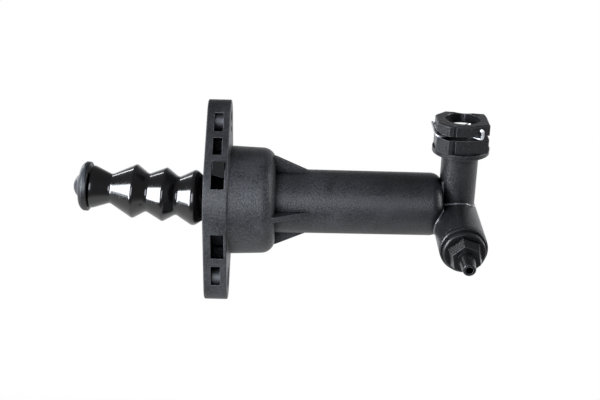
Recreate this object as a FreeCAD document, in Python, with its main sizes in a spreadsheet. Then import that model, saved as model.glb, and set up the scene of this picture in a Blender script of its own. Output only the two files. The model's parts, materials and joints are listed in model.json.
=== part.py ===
import FreeCAD, Part
import math
import os

import Sketcher
from FreeCAD import Placement, Rotation, Vector

# Clutch slave cylinder with a moulded housing.
# The origin is the centre of the flange's mounting face. +X runs along the cylinder towards the pipe port, and +Z runs
# along the flange, through both bolt holes. The push rod stands out towards -X.
# The ribs, the pipe port and the bleed tube share one frame, turned about the cylinder axis by port_turn.

DIMENSIONS = (
    ("flange_thick", 10.0, "flange, mounting face to back"),
    ("bolt_spacing", 68.0, "between the two bolt holes"),
    ("flange_end", 9.5, "radius of the flange's ends"),
    ("flange_edge", 0.35, "chamfer on the flange's edges"),
    ("bolt_hole", 8.5, "bolt hole in the steel sleeve"),
    ("sleeve_wall", 1.75, "wall of the bolt sleeve"),
    ("bell_dia", 47.0, "bell, outside, at the flange"),
    ("bell_taper", 1.0, "draft of the bell on its diameter"),
    ("bell_depth", 30.0, "mounting face to the end of the bell"),
    ("bell_round", 6.0, "round at the end of the bell"),
    ("bell_fillet", 0.8, "fillet from the flange to the bell"),
    ("bell_wall", 4.0, "wall of the bell"),
    ("bell_floor", 4.0, "floor of the bell"),
    ("barrel_dia", 27.8, "barrel, outside, at the bell"),
    ("barrel_taper", 0.4, "draft of the barrel on its diameter"),
    ("barrel_reach", 102.0, "mounting face to the end of the barrel"),
    ("barrel_round", 5.0, "round at the end of the barrel"),
    ("bore_dia", 20.64, "cylinder bore"),
    ("bore_start", 9.0, "mounting face to the mouth of the bore"),
    ("bore_lead", 0.8, "lead-in at the mouth of the bore"),
    ("bore_bottom", 8.0, "wall at the bottom of the bore"),
    ("rib_thick", 2.2, "rib between bell and barrel"),
    ("rib_out", 20.7, "outer edge of a rib, from the axis"),
    ("rib_run", 15.5, "length of a rib beyond the bell"),
    ("port_turn", 24.0, "turn of ribs and ports about the axis, degrees"),
    ("port_gap", 6.6, "end of the barrel to the port's axis"),
    ("port_dia", 15.7, "pipe port tube, outside"),
    ("collar_dia", 24.3, "collar under the hexagon"),
    ("collar_start", 25.2, "cylinder axis to the collar"),
    ("collar_thick", 2.0, "collar"),
    ("head_left", 11.3, "port axis to the head's side towards the flange"),
    ("head_right", 10.4, "port axis to the head's far side"),
    ("head_front", 10.7, "port axis to the head's front"),
    ("head_back", 8.5, "port axis to the head's back"),
    ("head_cut", 4.6, "corner cut of the head on its flange side, each way"),
    ("head_long_cut", 7.5, "long corner cut of the head, along its front"),
    ("head_long_drop", 2.7, "that cut, along the head's side"),
    ("head_back_cut", 2.9, "corner cut at the back, along the head's side"),
    ("head_back_slant", 2.6, "slant of the head's back"),
    ("head_groove", 1.3, "groove down the front of the head, width"),
    ("head_groove_deep", 0.6, "groove down the front of the head, depth"),
    ("head_groove_out", 4.5, "port axis to that groove"),
    ("head_lower", 6.3, "head below the clip slot"),
    ("head_upper", 4.7, "head above the clip slot"),
    ("head_edge", 0.5, "chamfer on the head's top"),
    ("clip_slot", 1.8, "height of the clip slot"),
    ("slot_core_wall", 0.9, "wall of the wide bore left in the clip slot"),
    ("guide_dia", 14.7, "pipe port, wide bore"),
    ("guide_depth", 11.5, "pipe port, depth of the wide bore"),
    ("guide_lead", 0.55, "lead-in of the wide bore"),
    ("seal_bore_dia", 10.0, "pipe port, bore for the pipe's seal"),
    ("seal_bore_length", 12.0, "length of that bore"),
    ("fluid_hole", 4.0, "fluid passages"),
    ("clip_wire", 1.2, "wire of the retaining clip"),
    ("clip_leg_out", 5.8, "port axis to a leg of the clip"),
    ("clip_bow_out", 12.9, "port axis to the bow of the clip"),
    ("clip_bow_half", 4.6, "half the width of the bow"),
    ("clip_bow_rise", 2.8, "bow of the clip above its legs"),
    ("clip_shoulder_x", 10.9, "port axis to the shoulders of the clip, along the head"),
    ("clip_shoulder_y", 8.4, "port axis to the shoulders of the clip, across the head"),
    ("clip_flare_start", 1.8, "port axis to the start of the flared ends"),
    ("clip_flare", 5.2, "flared ends, each way"),
    ("clip_end_rise", 4.3, "bent ends of the clip"),
    ("clip_hook", 1.3, "hooks on the bent ends"),
    ("slip", 0.1, "clearance of pieces that slide by hand"),
    ("gap", 0.3, "clearance of pieces that only lie close"),
    ("bleed_offset", 6.3, "bleed tube's axis below the cylinder axis"),
    ("bleed_dia", 20.2, "bleed tube, outside"),
    ("bleed_reach", 30.0, "cross axis to the rim of the bleed tube"),
    ("bleed_back", 9.0, "cross axis to the back of the bleed tube"),
    ("bleed_back_round", 3.0, "round on the back of the bleed tube"),
    ("bush_dia", 15.1, "bleed bush in the tube"),
    ("bush_depth", 13.0, "depth of the bush in the tube"),
    ("bush_flange_dia", 20.0, "wide disc of the bush"),
    ("bush_flange_thick", 2.0, "wide disc of the bush"),
    ("bush_step_dia", 17.8, "second disc of the bush"),
    ("bush_step_thick", 3.0, "second disc of the bush"),
    ("screw_dia", 9.0, "bleed screw thread"),
    ("screw_hex", 10.8, "bleed screw across flats, at the front"),
    ("screw_hex_wide", 13.0, "bleed screw across flats, at its foot"),
    ("screw_hex_foot", 1.2, "straight foot of the hexagon"),
    ("screw_hex_tall", 6.0, "bleed screw hexagon"),
    ("screw_hex_turn", 5.5, "turn of that hexagon, degrees"),
    ("screw_nose_dia", 6.0, "plain end of the bleed screw"),
    ("nipple_dia", 7.4, "bleed nipple at its root"),
    ("nipple_tip_dia", 5.4, "bleed nipple at its tip"),
    ("nipple_length", 8.8, "bleed nipple"),
    ("bleed_hole", 3.0, "hole along the bleed screw"),
    ("o_ring_thick", 1.3, "section of the screw's O-ring"),
    ("bush_o_ring_thick", 1.9, "section of the bush's O-ring"),
    ("stop_ring_thick", 1.4, "stop ring"),
    ("stop_ring_setback", 1.5, "mouth of the bore to the stop ring"),
    ("stop_ring_bite", 0.9, "depth of the stop ring's groove"),
    ("stop_ring_width", 2.3, "section of the stop ring across"),
    ("piston_fit", 0.06, "piston's radial clearance in the bore"),
    ("piston_length", 28.0, "piston, without its nose"),
    ("piston_nose_dia", 11.0, "nose that carries the cup"),
    ("piston_nose_length", 5.5, "nose that carries the cup"),
    ("land_width", 2.6, "land at the open end of the piston"),
    ("guide_ring_width", 4.0, "piston guide ring"),
    ("guide_ring_thick", 1.3, "piston guide ring"),
    ("wiper_width", 3.2, "secondary seal"),
    ("wiper_thick", 1.9, "secondary seal"),
    ("piston_ribbing", 5.0, "between guide ring and secondary seal"),
    ("cup_length", 7.0, "pressure cup"),
    ("cup_wall", 1.5, "lip of the pressure cup"),
    ("ball_dia", 9.0, "ball of the push rod"),
    ("ball_depth", 7.8, "open end of the piston to the ball's centre"),
    ("ball_fit", 0.05, "clearance of the ball in its seat"),
    ("collar_wall", 1.4, "wall of the ball retainer at its hold"),
    ("rod_neck_dia", 5.2, "neck behind the ball"),
    ("rod_dia", 9.0, "push rod"),
    ("rod_reach", 78.3, "ball's centre to the tip of the rod's cap"),
    ("rod_lean", 3.5, "rest angle of the push rod, degrees"),
    ("cap_disc_dia", 21.5, "disc of the rod's cap"),
    ("cap_disc_thick", 2.0, "rim of the cap's disc"),
    ("cap_disc_back", 7.3, "tip of the cap to the back of the disc"),
    ("cap_nose_dia", 17.6, "front of the cap's disc, where its round begins"),
    ("cap_nose_rise", 3.4, "tip of the cap to that place"),
    ("cap_tip_dia", 9.2, "domed tip of the cap"),
    ("cap_tip_rise", 2.0, "height of the dome"),
    ("cap_socket_depth", 3.6, "rod's spigot in the cap"),
    ("cap_neck_dia", 11.5, "cap behind the disc"),
    ("cap_neck_length", 2.6, "cap behind the disc"),
    ("boot_wall", 1.2, "wall of the boot"),
    ("boot_lip_dia", 19.0, "boot at the rod's cap"),
    ("boot_lip_length", 1.6, "rim of the boot at the rod's cap"),
    ("boot_waist_dia", 12.7, "narrowest fold of the boot"),
    ("boot_cone", 8.5, "front of the boot to that fold"),
    ("boot_flank", 10.4, "that fold to the first outer fold"),
    ("boot_fold_dia", 16.5, "inner folds of the boot"),
    ("boot_peak_dia", 24.0, "outer folds of the boot"),
    ("boot_last_peak_dia", 25.2, "outer fold at the flange"),
    ("boot_first_out", 5.2, "mounting face to the first outer fold"),
    ("boot_fold_back", 5.5, "from an outer fold to the inner fold on its flange side"),
    ("boot_root_dia", 32.0, "root of the boot"),
    ("boot_root_thick", 4.8, "root of the boot"),
    ("retainer_set", 1.0, "mounting face to the boot retainer"),
    ("retainer_face", 2.2, "face of the boot retainer"),
    ("retainer_wall", 1.6, "skirt of the boot retainer"),
    ("retainer_length", 10.0, "boot retainer"),
    ("retainer_hole", 26.6, "opening of the boot retainer"),
    ("latch_stand", 2.6, "latch of the boot retainer, beyond its skirt"),
    ("spring_wire", 1.5, "wire of the preload spring"),
    ("spring_dia", 14.5, "preload spring, middle of its wire"),
    ("spring_turns", 6.0, "preload spring"),
    ("seat_face", 1.6, "spring seat"),
    ("seat_rim", 3.0, "rim of the spring seat"),
    ("flange_web", 3.0, "web between front and back pockets of the flange"),
    ("pocket_near_x", 3.3, "mounting face to the flange's pockets"),
    ("pocket_slim", 3.9, "width of the slim pockets"),
    ("pocket_wide", 5.6, "width of the wide pockets"),
    ("slot_low", 28.8, "bolt end slot, inner end"),
    ("slot_long", 8.1, "bolt end slot, length"),
    ("upper_pocket_low", 18.6, "upper pocket, inner end"),
    ("upper_pocket_long", 7.4, "upper pocket, length"),
    ("lower_pocket_low", 15.2, "lower pocket, inner end"),
    ("lower_pocket_long", 10.1, "lower pocket, length"),
    ("latch_window_low", 4.0, "latch window, inner end"),
    ("latch_window_long", 12.0, "latch window, length"),
)


class Size:
    """A size with its number and the formula, on the sheet's cells, that gives it."""

    def __init__(self, number, formula):
        self.number = float(number)
        self.formula = formula

    def __add__(self, other):
        other = as_size(other)
        return Size(self.number + other.number, f"({self.formula} + {other.formula})")

    def __sub__(self, other):
        other = as_size(other)
        return Size(self.number - other.number, f"({self.formula} - {other.formula})")

    def __mul__(self, other):
        other = as_size(other)
        return Size(self.number * other.number, f"({self.formula} * {other.formula})")

    def __truediv__(self, other):
        other = as_size(other)
        return Size(self.number / other.number, f"({self.formula} / {other.formula})")

    def __rsub__(self, other):
        return as_size(other) - self

    def __neg__(self):
        return as_size(0) - self

    __radd__ = __add__
    __rmul__ = __mul__


class Bend:
    """An arc between two points of an outline. side is 1 where the way turns left, -1 where it turns right."""

    def __init__(self, radius, side):
        self.radius = as_size(radius)
        self.side = side


class Dimensions:
    """The sheet's cells by name."""


def as_size(value):
    return value if isinstance(value, Size) else Size(value, repr(round(float(value), 9)))


def root(size):
    return Size(math.sqrt(size.number), f"sqrt({size.formula})")


def left(radius):
    return Bend(radius, 1)


def right(radius):
    return Bend(radius, -1)


doc = FreeCAD.newDocument("slave_cylinder")
sheet = doc.addObject("Spreadsheet::Sheet", "Sizes")
d = Dimensions()
for row, (alias, number, meaning) in enumerate(DIMENSIONS, start=1):
    sheet.set(f"A{row}", meaning)
    sheet.set(f"B{row}", str(number))
    sheet.setAlias(f"B{row}", alias)
    setattr(d, alias, Size(number, f"Sizes.{alias}"))
doc.recompute()

subparts = []


# Drawing helpers


def bind(thing, prop, size):
    """Ties one property of a feature to the sheet."""
    thing.setExpression(prop, as_size(size).formula)


def new_body(name):
    body = doc.addObject("PartDesign::Body", name)
    body.Label = name
    subparts.append(body)
    return body


def origin_feature(body, role):
    return next(f for f in body.Origin.OriginFeatures if f.Role == role)


def new_sketch(body, name, plane, seat=None):
    """A sketch on one of the body's own origin planes, moved and turned in it by seat."""
    sketch = body.newObject("Sketcher::SketchObject", name)
    sketch.AttachmentSupport = [(origin_feature(body, plane), "")]
    sketch.MapMode = "FlatFace"
    if seat is not None:
        sketch.AttachmentOffset = seat
    return sketch


def add_bound(sketch, wanted):
    """Adds constraints, each with its size or None, and binds the sized ones to the sheet."""
    first = sketch.ConstraintCount
    sketch.addConstraint([constraint for constraint, _ in wanted])
    for index, (_, size) in enumerate(wanted, start=first):
        if size is not None:
            sketch.setExpression(f"Constraints[{index}]", size.formula)


def draw_arc(sketch, start, end, bend):
    """An arc from start to end. Returns its index and the numbers of its first and last point on the way."""
    chord = end - start
    half = chord.Length / 2
    rise = math.sqrt(max(bend.radius.number**2 - half**2, 0))
    across = Vector(-chord.y, chord.x, 0).normalize() * bend.side
    centre = (start + end) / 2 + across * rise
    circle = Part.Circle(centre, Vector(0, 0, 1), bend.radius.number)
    first, last = (start, end) if bend.side > 0 else (end, start)
    angles = [math.atan2(p.y - centre.y, p.x - centre.x) for p in (first, last)]
    if angles[1] < angles[0]:
        angles[1] += 2 * math.pi
    index = sketch.addGeometry(Part.ArcOfCircle(circle, *angles), False)
    return (index, 1, 2) if bend.side > 0 else (index, 2, 1)


def draw(sketch, steps):
    """Draws one closed outline through points (across, up), straight or with a Bend between two of them."""
    corners = []
    bends = {}
    for step in steps:
        if isinstance(step, Bend):
            bends[len(corners) - 1] = step
        else:
            corners.append([as_size(value) for value in step])
    spots = [Vector(across.number, up.number, 0) for across, up in corners]
    wanted = []
    pieces = []
    for index, spot in enumerate(spots):
        following = spots[(index + 1) % len(spots)]
        if index in bends:
            piece = draw_arc(sketch, spot, following, bends[index])
            radius = bends[index].radius
            wanted.append((Sketcher.Constraint("Radius", piece[0], radius.number), radius))
        else:
            piece = (sketch.addGeometry(Part.LineSegment(spot, following), False), 1, 2)
        pieces.append(piece)
    for index, (geometry, start, _) in enumerate(pieces):
        before, _, end = pieces[index - 1]
        wanted.append((Sketcher.Constraint("Coincident", before, end, geometry, start), None))
        for kind, axis, size in zip(("DistanceX", "DistanceY"), (-2, -1), corners[index]):
            if size.number == 0:
                wanted.append((Sketcher.Constraint("PointOnObject", geometry, start, axis), None))
            else:
                constraint = Sketcher.Constraint(kind, -1, 1, geometry, start, size.number)
                wanted.append((constraint, size))
    add_bound(sketch, wanted)
    return sketch


def draw_circle(sketch, across, up, radius):
    """Draws a circle round a point."""
    centre = Vector(as_size(across).number, as_size(up).number, 0)
    geometry = sketch.addGeometry(Part.Circle(centre, Vector(0, 0, 1), radius.number), False)
    wanted = [(Sketcher.Constraint("Radius", geometry, radius.number), radius)]
    for kind, axis, value in (("DistanceX", -2, across), ("DistanceY", -1, up)):
        size = as_size(value)
        if size.number == 0:
            wanted.append((Sketcher.Constraint("PointOnObject", geometry, 3, axis), None))
        else:
            wanted.append((Sketcher.Constraint(kind, -1, 1, geometry, 3, size.number), size))
    add_bound(sketch, wanted)
    return sketch


def rectangle(low_x, high_x, low_y, high_y):
    return [(low_x, low_y), (high_x, low_y), (high_x, high_y), (low_x, high_y)]


def polygon(flats, sides, first_degrees):
    """Corner points of a regular polygon round the origin."""
    reach = flats / (2 * math.cos(math.pi / sides))
    angles = [math.radians(first_degrees + 360 * corner / sides) for corner in range(sides)]
    return [(reach * math.cos(a), reach * math.sin(a)) for a in angles]


def pad(body, sketch, length):
    feature = body.newObject("PartDesign::Pad", sketch.Name + "_pad")
    feature.Profile = sketch
    bind(feature, "Length", length)
    return feature


def pocket(body, sketch, length, with_normal):
    """A pocket from the sketch, on the side its normal points to or on the other."""
    feature = body.newObject("PartDesign::Pocket", sketch.Name + "_pocket")
    feature.Profile = sketch
    feature.Reversed = with_normal
    bind(feature, "Length", length)
    return feature


def turn(body, sketch, axis="H_Axis", cut=False):
    """Turns an outline once round an axis of its sketch, as solid or as a cut."""
    kind = "PartDesign::Groove" if cut else "PartDesign::Revolution"
    feature = body.newObject(kind, sketch.Name + "_turn")
    feature.Profile = sketch
    feature.ReferenceAxis = (sketch, [axis])
    feature.Angle = 360
    return feature


def mirrored(body, feature, plane):
    copy = body.newObject("PartDesign::Mirrored", feature.Name + "_other_side")
    copy.Originals = [feature]
    copy.MirrorPlane = (origin_feature(body, plane), [""])
    body.Tip = copy
    return copy


def round_pattern(body, feature, axis, count):
    copies = body.newObject("PartDesign::PolarPattern", feature.Name + "_ring")
    copies.Originals = [feature]
    copies.Axis = (origin_feature(body, axis), [""])
    copies.Angle = 360
    copies.Occurrences = count
    body.Tip = copies
    return copies


def edge_names(feature, wanted):
    doc.recompute()
    return [f"Edge{i}" for i, edge in enumerate(feature.Shape.Edges, start=1) if wanted(edge)]


def chamfer(body, feature, wanted, size):
    """A chamfer on the edges of a feature that a test picks."""
    cut = body.newObject("PartDesign::Chamfer", feature.Name + "_chamfer")
    cut.Base = (feature, edge_names(feature, wanted))
    bind(cut, "Size", size)
    body.Tip = cut
    return cut


def turned(name, steps, seat=None):
    """A piece made by turning one outline round its own X axis: points are (along, out)."""
    body = new_body(name)
    turn(body, draw(new_sketch(body, name + "_outline", "XZ_Plane"), steps))
    if seat is not None:
        body.Placement = seat
    return body


# Places that several pieces share

cross_x = d.barrel_reach + d.port_gap
bore_r = d.bore_dia / 2
bore_end = d.barrel_reach - d.bore_bottom
bell_r = d.bell_dia / 2
bell_end_r = (d.bell_dia - d.bell_taper) / 2
barrel_r = d.barrel_dia / 2
barrel_end_r = (d.barrel_dia - d.barrel_taper) / 2
cavity_r = bell_end_r - d.bell_wall
cavity_end = d.bell_depth - d.bell_floor
bolt_out = d.bolt_spacing / 2
bolt_hole_r = d.bolt_hole / 2
sleeve_r = bolt_hole_r + d.sleeve_wall
head_start = d.collar_start + d.collar_thick
slot_start = head_start + d.head_lower
head_end = slot_start + d.clip_slot + d.head_upper
clip_height = slot_start + d.clip_slot / 2

turn_angle = d.port_turn.number
turned_about_x = Rotation(Vector(1, 0, 0), turn_angle)
port_way = turned_about_x.multVec(Vector(0, 0, 1))
bleed_way = turned_about_x.multVec(Vector(0, -1, 0))
cross_point = Vector(cross_x.number, 0, 0)
bleed_foot = cross_point - port_way * d.bleed_offset.number


def port_seat(height=0):
    """For a sketch on the XY plane: square to the port at that height."""
    return Placement(cross_point + port_way * as_size(height).number, turned_about_x)


def bleed_seat():
    """For a sketch on the XY plane: holds the bleed axis, which runs down it."""
    return Placement(bleed_foot, turned_about_x)


def side_seat(along=0, out=0):
    """For a sketch on the XZ plane: turned with the ports, moved along the cylinder and out along the bleed axis."""
    away = turned_about_x.multVec(Vector(0, 0, as_size(out).number))
    return Placement(Vector(as_size(along).number, 0, 0) + away, turned_about_x)


# Housing


def flange_outline(sketch):
    """Two round ends and a round waist, joined by tangents."""
    waist = bell_r + d.bell_fillet
    lean = (waist - d.flange_end) / bolt_out
    across = root(1 - lean * lean)
    wy, wz = waist * across, waist * lean
    ey, ez = d.flange_end * across, bolt_out + d.flange_end * lean
    top = bolt_out + d.flange_end
    draw(
        sketch,
        [
            (wy, -wz),
            left(waist),
            (wy, wz),
            (ey, ez),
            left(d.flange_end),
            (0, top),
            left(d.flange_end),
            (-ey, ez),
            (-wy, wz),
            left(waist),
            (-wy, -wz),
            (-ey, -ez),
            left(d.flange_end),
            (0, -top),
            left(d.flange_end),
            (ey, -ez),
        ],
    )
    return sketch


def add_flange(body):
    plate = pad(body, flange_outline(new_sketch(body, "flange", "YZ_Plane")), d.flange_thick)
    chamfer(body, plate, lambda edge: edge.BoundBox.XLength < d.flange_edge.number, d.flange_edge)
    near = d.pocket_near_x
    half_web = d.flange_web / 2
    sketch = new_sketch(
        body, "edge_pockets", "XZ_Plane", Placement(Vector(0, 0, half_web.number), Rotation())
    )
    slim = near + d.pocket_slim
    wide = near + d.pocket_wide
    slot_high = d.slot_low + d.slot_long
    draw(sketch, rectangle(near, slim, d.slot_low, slot_high))
    draw(sketch, rectangle(near, slim, -slot_high, -d.slot_low))
    draw(sketch, rectangle(near, slim, d.upper_pocket_low, d.upper_pocket_low + d.upper_pocket_long))
    lower_high = d.lower_pocket_low + d.lower_pocket_long
    draw(sketch, rectangle(near, wide, -lower_high, -d.lower_pocket_low))
    cut = pocket(body, sketch, bell_r * 2, with_normal=True)
    mirrored(body, cut, "XZ_Plane")


def add_bell_and_barrel(body):
    inner = cavity_r + d.bell_wall / 2
    neck = d.bell_depth - d.bell_round
    outline = [
        (0, 0),
        (0, inner),
        (d.flange_thick - d.bell_fillet, inner),
        (d.flange_thick - d.bell_fillet, bell_r + d.bell_fillet),
        (d.flange_thick, bell_r + d.bell_fillet),
        left(d.bell_fillet),
        (d.flange_thick + d.bell_fillet, bell_r),
        (neck, bell_end_r),
        right(d.bell_round),
        (d.bell_depth, bell_end_r - d.bell_round),
        (d.bell_depth, barrel_r),
        (d.barrel_reach - d.barrel_round, barrel_end_r),
        right(d.barrel_round),
        (d.barrel_reach, barrel_end_r - d.barrel_round),
        (d.barrel_reach, 0),
    ]
    turn(body, draw(new_sketch(body, "bell_and_barrel", "XZ_Plane"), outline))


def add_ribs(body):
    start = d.bell_depth - d.bell_round
    end = d.bell_depth + d.rib_run
    root_r = bore_r + (barrel_end_r - bore_r) / 2
    seat = side_seat(0, -d.rib_thick / 2)
    sketch = new_sketch(body, "rib", "XZ_Plane", seat)
    draw(sketch, [(start, root_r), (end, root_r), (end, barrel_end_r), (d.bell_depth, d.rib_out), (start, d.rib_out)])
    round_pattern(body, pad(body, sketch, d.rib_thick), "X_Axis", 4)


def head_outline():
    """The head of the pipe port, seen from its mouth, front downwards."""
    slope = d.head_back_slant / (d.head_left + d.head_right - d.head_cut)
    return [
        (-d.head_left, -(d.head_front - d.head_cut)),
        (-(d.head_left - d.head_cut), -d.head_front),
        (d.head_right - d.head_long_cut, -d.head_front),
        (d.head_right, -(d.head_front - d.head_long_drop)),
        (d.head_right, d.head_back - d.head_back_slant - d.head_back_cut),
        (d.head_right - slope * d.head_back_cut, d.head_back - d.head_back_slant),
        (-(d.head_left - d.head_cut), d.head_back),
        (-d.head_left, d.head_back - d.head_cut),
    ]


def add_ports(body):
    port_r = d.port_dia / 2
    sketch = new_sketch(body, "port_tube", "XZ_Plane", side_seat(cross_x))
    outline = [
        (0, 0),
        (port_r, 0),
        (port_r, d.collar_start - d.collar_thick),
        right(d.collar_thick),
        (port_r + d.collar_thick, d.collar_start),
        (d.collar_dia / 2, d.collar_start),
        (d.collar_dia / 2, head_start),
        (0, head_start),
    ]
    turn(body, draw(sketch, outline), axis="V_Axis")
    bleed_r = d.bleed_dia / 2
    back = d.bleed_back
    sketch = new_sketch(body, "bleed_tube", "XY_Plane", bleed_seat())
    outline = [
        (0, -d.bleed_reach),
        (bleed_r, -d.bleed_reach),
        (bleed_r, back - d.bleed_back_round),
        left(d.bleed_back_round),
        (bleed_r - d.bleed_back_round, back),
        (0, back),
    ]
    turn(body, draw(sketch, outline), axis="V_Axis")
    sketch = new_sketch(body, "head", "XY_Plane", port_seat(head_start))
    draw(sketch, head_outline())
    head = pad(body, sketch, head_end - head_start)
    top = cross_point + port_way * head_end.number
    chamfer(
        body,
        head,
        lambda edge: all(abs((v.Point - top).dot(port_way)) < 1e-6 for v in edge.Vertexes),
        d.head_edge,
    )


def hollow_cylinder(body):
    groove_start = d.bore_start + d.stop_ring_setback - d.slip
    groove_end = groove_start + d.stop_ring_thick + 2 * d.slip
    groove_r = bore_r + d.stop_ring_bite
    outline = [
        (0, 0),
        (0, cavity_r),
        (cavity_end, cavity_r),
        (cavity_end, barrel_r),
        (d.bore_start, barrel_r),
        (d.bore_start, bore_r + d.bore_lead),
        (d.bore_start + d.bore_lead, bore_r),
        (groove_start, bore_r),
        (groove_start, groove_r),
        (groove_end, groove_r),
        (groove_end, bore_r),
        (bore_end, bore_r),
        (bore_end, d.fluid_hole / 2),
        (cross_x, d.fluid_hole / 2),
        (cross_x, 0),
    ]
    turn(body, draw(new_sketch(body, "cylinder_bore", "XZ_Plane"), outline), cut=True)


def hollow_bolt_ends(body):
    sketch = new_sketch(body, "sleeve_holes", "YZ_Plane")
    for up in (bolt_out, -bolt_out):
        draw_circle(sketch, 0, up, sleeve_r)
    pocket(body, sketch, d.flange_thick, with_normal=True)


def open_latch_windows(body):
    start = barrel_r + d.gap
    seat = Placement(Vector(0, 0, start.number), Rotation())
    sketch = new_sketch(body, "latch_window", "XZ_Plane", seat)
    high = d.latch_window_low + d.latch_window_long
    draw(sketch, rectangle(d.pocket_near_x, d.pocket_near_x + d.pocket_wide, d.latch_window_low, high))
    mirrored(body, pocket(body, sketch, bell_r, with_normal=True), "XZ_Plane")


def hollow_ports(body):
    guide_r = d.guide_dia / 2
    seal_r = d.seal_bore_dia / 2
    guide_end = head_end - d.guide_depth
    seal_end = guide_end - d.seal_bore_length
    hole_r = d.fluid_hole / 2
    outline = [
        (0, -d.bleed_offset),
        (hole_r, -d.bleed_offset),
        (hole_r, seal_end),
        (seal_r, seal_end),
        (seal_r, guide_end),
        (guide_r, guide_end),
        (guide_r, head_end - d.guide_lead),
        (guide_r + d.guide_lead, head_end),
        (0, head_end),
    ]
    sketch = new_sketch(body, "port_bore", "XZ_Plane", side_seat(cross_x))
    turn(body, draw(sketch, outline), axis="V_Axis", cut=True)
    socket_r = d.bush_dia / 2 + d.slip / 2
    socket_end = d.bleed_reach - d.bush_depth - d.gap
    nose_r = d.screw_nose_dia / 2 + d.gap
    outline = [
        (0, 0),
        (d.bleed_hole / 2, 0),
        (d.bleed_hole / 2, -(socket_end - 2 * nose_r + d.bleed_hole / 2)),
        (nose_r, -(socket_end - nose_r)),
        (nose_r, -socket_end),
        (socket_r, -socket_end),
        (socket_r, -d.bleed_reach),
        (0, -d.bleed_reach),
    ]
    sketch = new_sketch(body, "bleed_bore", "XY_Plane", bleed_seat())
    turn(body, draw(sketch, outline), axis="V_Axis", cut=True)


def cut_clip_slots(body):
    """A slot on each side for a leg of the clip, a groove outside the wide bore's wall, and one down the front."""
    inner = d.clip_leg_out - d.clip_wire / 2 - d.gap
    reach = d.head_left + d.head_right
    slot_end = slot_start + d.clip_slot
    seat = Placement(
        Vector(0, 0, (cross_x - reach).number), Rotation(Vector(0, 0, 1), turn_angle)
    )
    sketch = new_sketch(body, "clip_slots", "YZ_Plane", seat)
    draw(sketch, rectangle(inner, reach, slot_start, slot_end))
    draw(sketch, rectangle(-reach, -inner, slot_start, slot_end))
    pocket(body, sketch, reach * 2, with_normal=True)
    core_r = d.guide_dia / 2 + d.slot_core_wall
    sketch = new_sketch(body, "clip_groove", "XZ_Plane", side_seat(cross_x))
    draw(sketch, rectangle(core_r, reach, slot_start, slot_end))
    turn(body, sketch, axis="V_Axis", cut=True)
    sketch = new_sketch(body, "front_groove", "XY_Plane", port_seat(head_start))
    low = d.head_front - d.head_groove_deep
    side = d.head_groove_out - d.head_groove / 2
    draw(sketch, rectangle(-(side + d.head_groove), -side, -(low + d.head_front), -low))
    pocket(body, sketch, head_end - head_start, with_normal=True)


def make_housing():
    body = new_body("housing")
    add_flange(body)
    add_bell_and_barrel(body)
    add_ribs(body)
    add_ports(body)
    hollow_cylinder(body)
    hollow_bolt_ends(body)
    open_latch_windows(body)
    hollow_ports(body)
    cut_clip_slots(body)


# Pieces fixed in the housing


def make_bolt_sleeves():
    lead = d.sleeve_wall / 4
    for name, up in (("upper_bolt_sleeve", bolt_out), ("lower_bolt_sleeve", -bolt_out)):
        outline = [
            (0, bolt_hole_r + lead),
            (lead, bolt_hole_r),
            (d.flange_thick - lead, bolt_hole_r),
            (d.flange_thick, bolt_hole_r + lead),
            (d.flange_thick, sleeve_r),
            (0, sleeve_r),
        ]
        turned(name, outline, Placement(Vector(0, 0, up.number), Rotation()))


def make_boot_retainer():
    outer = cavity_r - d.slip
    skirt = outer - d.retainer_wall
    hole_r = d.retainer_hole / 2
    face = d.retainer_set + d.retainer_face
    end = d.retainer_set + d.retainer_length
    outline = [
        (d.retainer_set, hole_r),
        (d.retainer_set, outer - d.retainer_wall / 2),
        (d.retainer_set + d.retainer_wall / 2, outer),
        (end, outer),
        (end, skirt),
        (face, skirt),
        (face, hole_r),
    ]
    body = turned("boot_retainer", outline)
    seat = Placement(Vector(0, 0, (barrel_r + 2 * d.gap).number), Rotation())
    sketch = new_sketch(body, "latch", "XZ_Plane", seat)
    near = d.pocket_near_x + d.gap
    far = d.pocket_near_x + d.pocket_wide - d.gap
    low = d.latch_window_low + d.latch_window_long / 2
    high = d.latch_window_low + d.latch_window_long - d.gap
    slope = d.latch_window_long / 10
    draw(sketch, [(near, low), (far, low - slope), (far, high), (near, high)])
    mirrored(body, pad(body, sketch, outer + d.latch_stand - barrel_r - 2 * d.gap), "XZ_Plane")
    hollow = new_sketch(body, "latch_back", "XZ_Plane")
    draw(hollow, [(face, 0), (end, 0), (end, skirt), (face, skirt)])
    turn(body, hollow, cut=True)


def make_stop_ring():
    start = d.bore_start + d.stop_ring_setback
    outer = bore_r + d.stop_ring_bite - d.slip
    inner = outer - d.stop_ring_width
    thick = d.stop_ring_thick
    body = turned("stop_ring", rectangle(start, start + thick, inner, outer))
    sketch = new_sketch(body, "ring_gap", "YZ_Plane", Placement(Vector(0, 0, start.number), Rotation()))
    draw(sketch, rectangle(-inner / 3, inner / 3, -outer * 2, -inner / 2))
    pocket(body, sketch, thick, with_normal=True)


# Piston and its seals

piston_start = d.bore_start + d.stop_ring_setback + d.stop_ring_thick + d.gap
piston_r = bore_r - d.piston_fit
ball_x = piston_start + d.ball_depth
piston_body_end = piston_start + d.piston_length
piston_end = piston_body_end + d.piston_nose_length
guide_ring_start = piston_start + d.land_width
wiper_start = guide_ring_start + d.guide_ring_width + d.piston_ribbing
ball_r = d.ball_dia / 2
socket_r = ball_r + d.collar_wall
hold_seat_r = ball_r + d.ball_fit * 4
hold_x = ball_x - hold_seat_r * 0.6
hold_r = hold_seat_r * 0.8
nose_r = d.piston_nose_dia / 2


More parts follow.
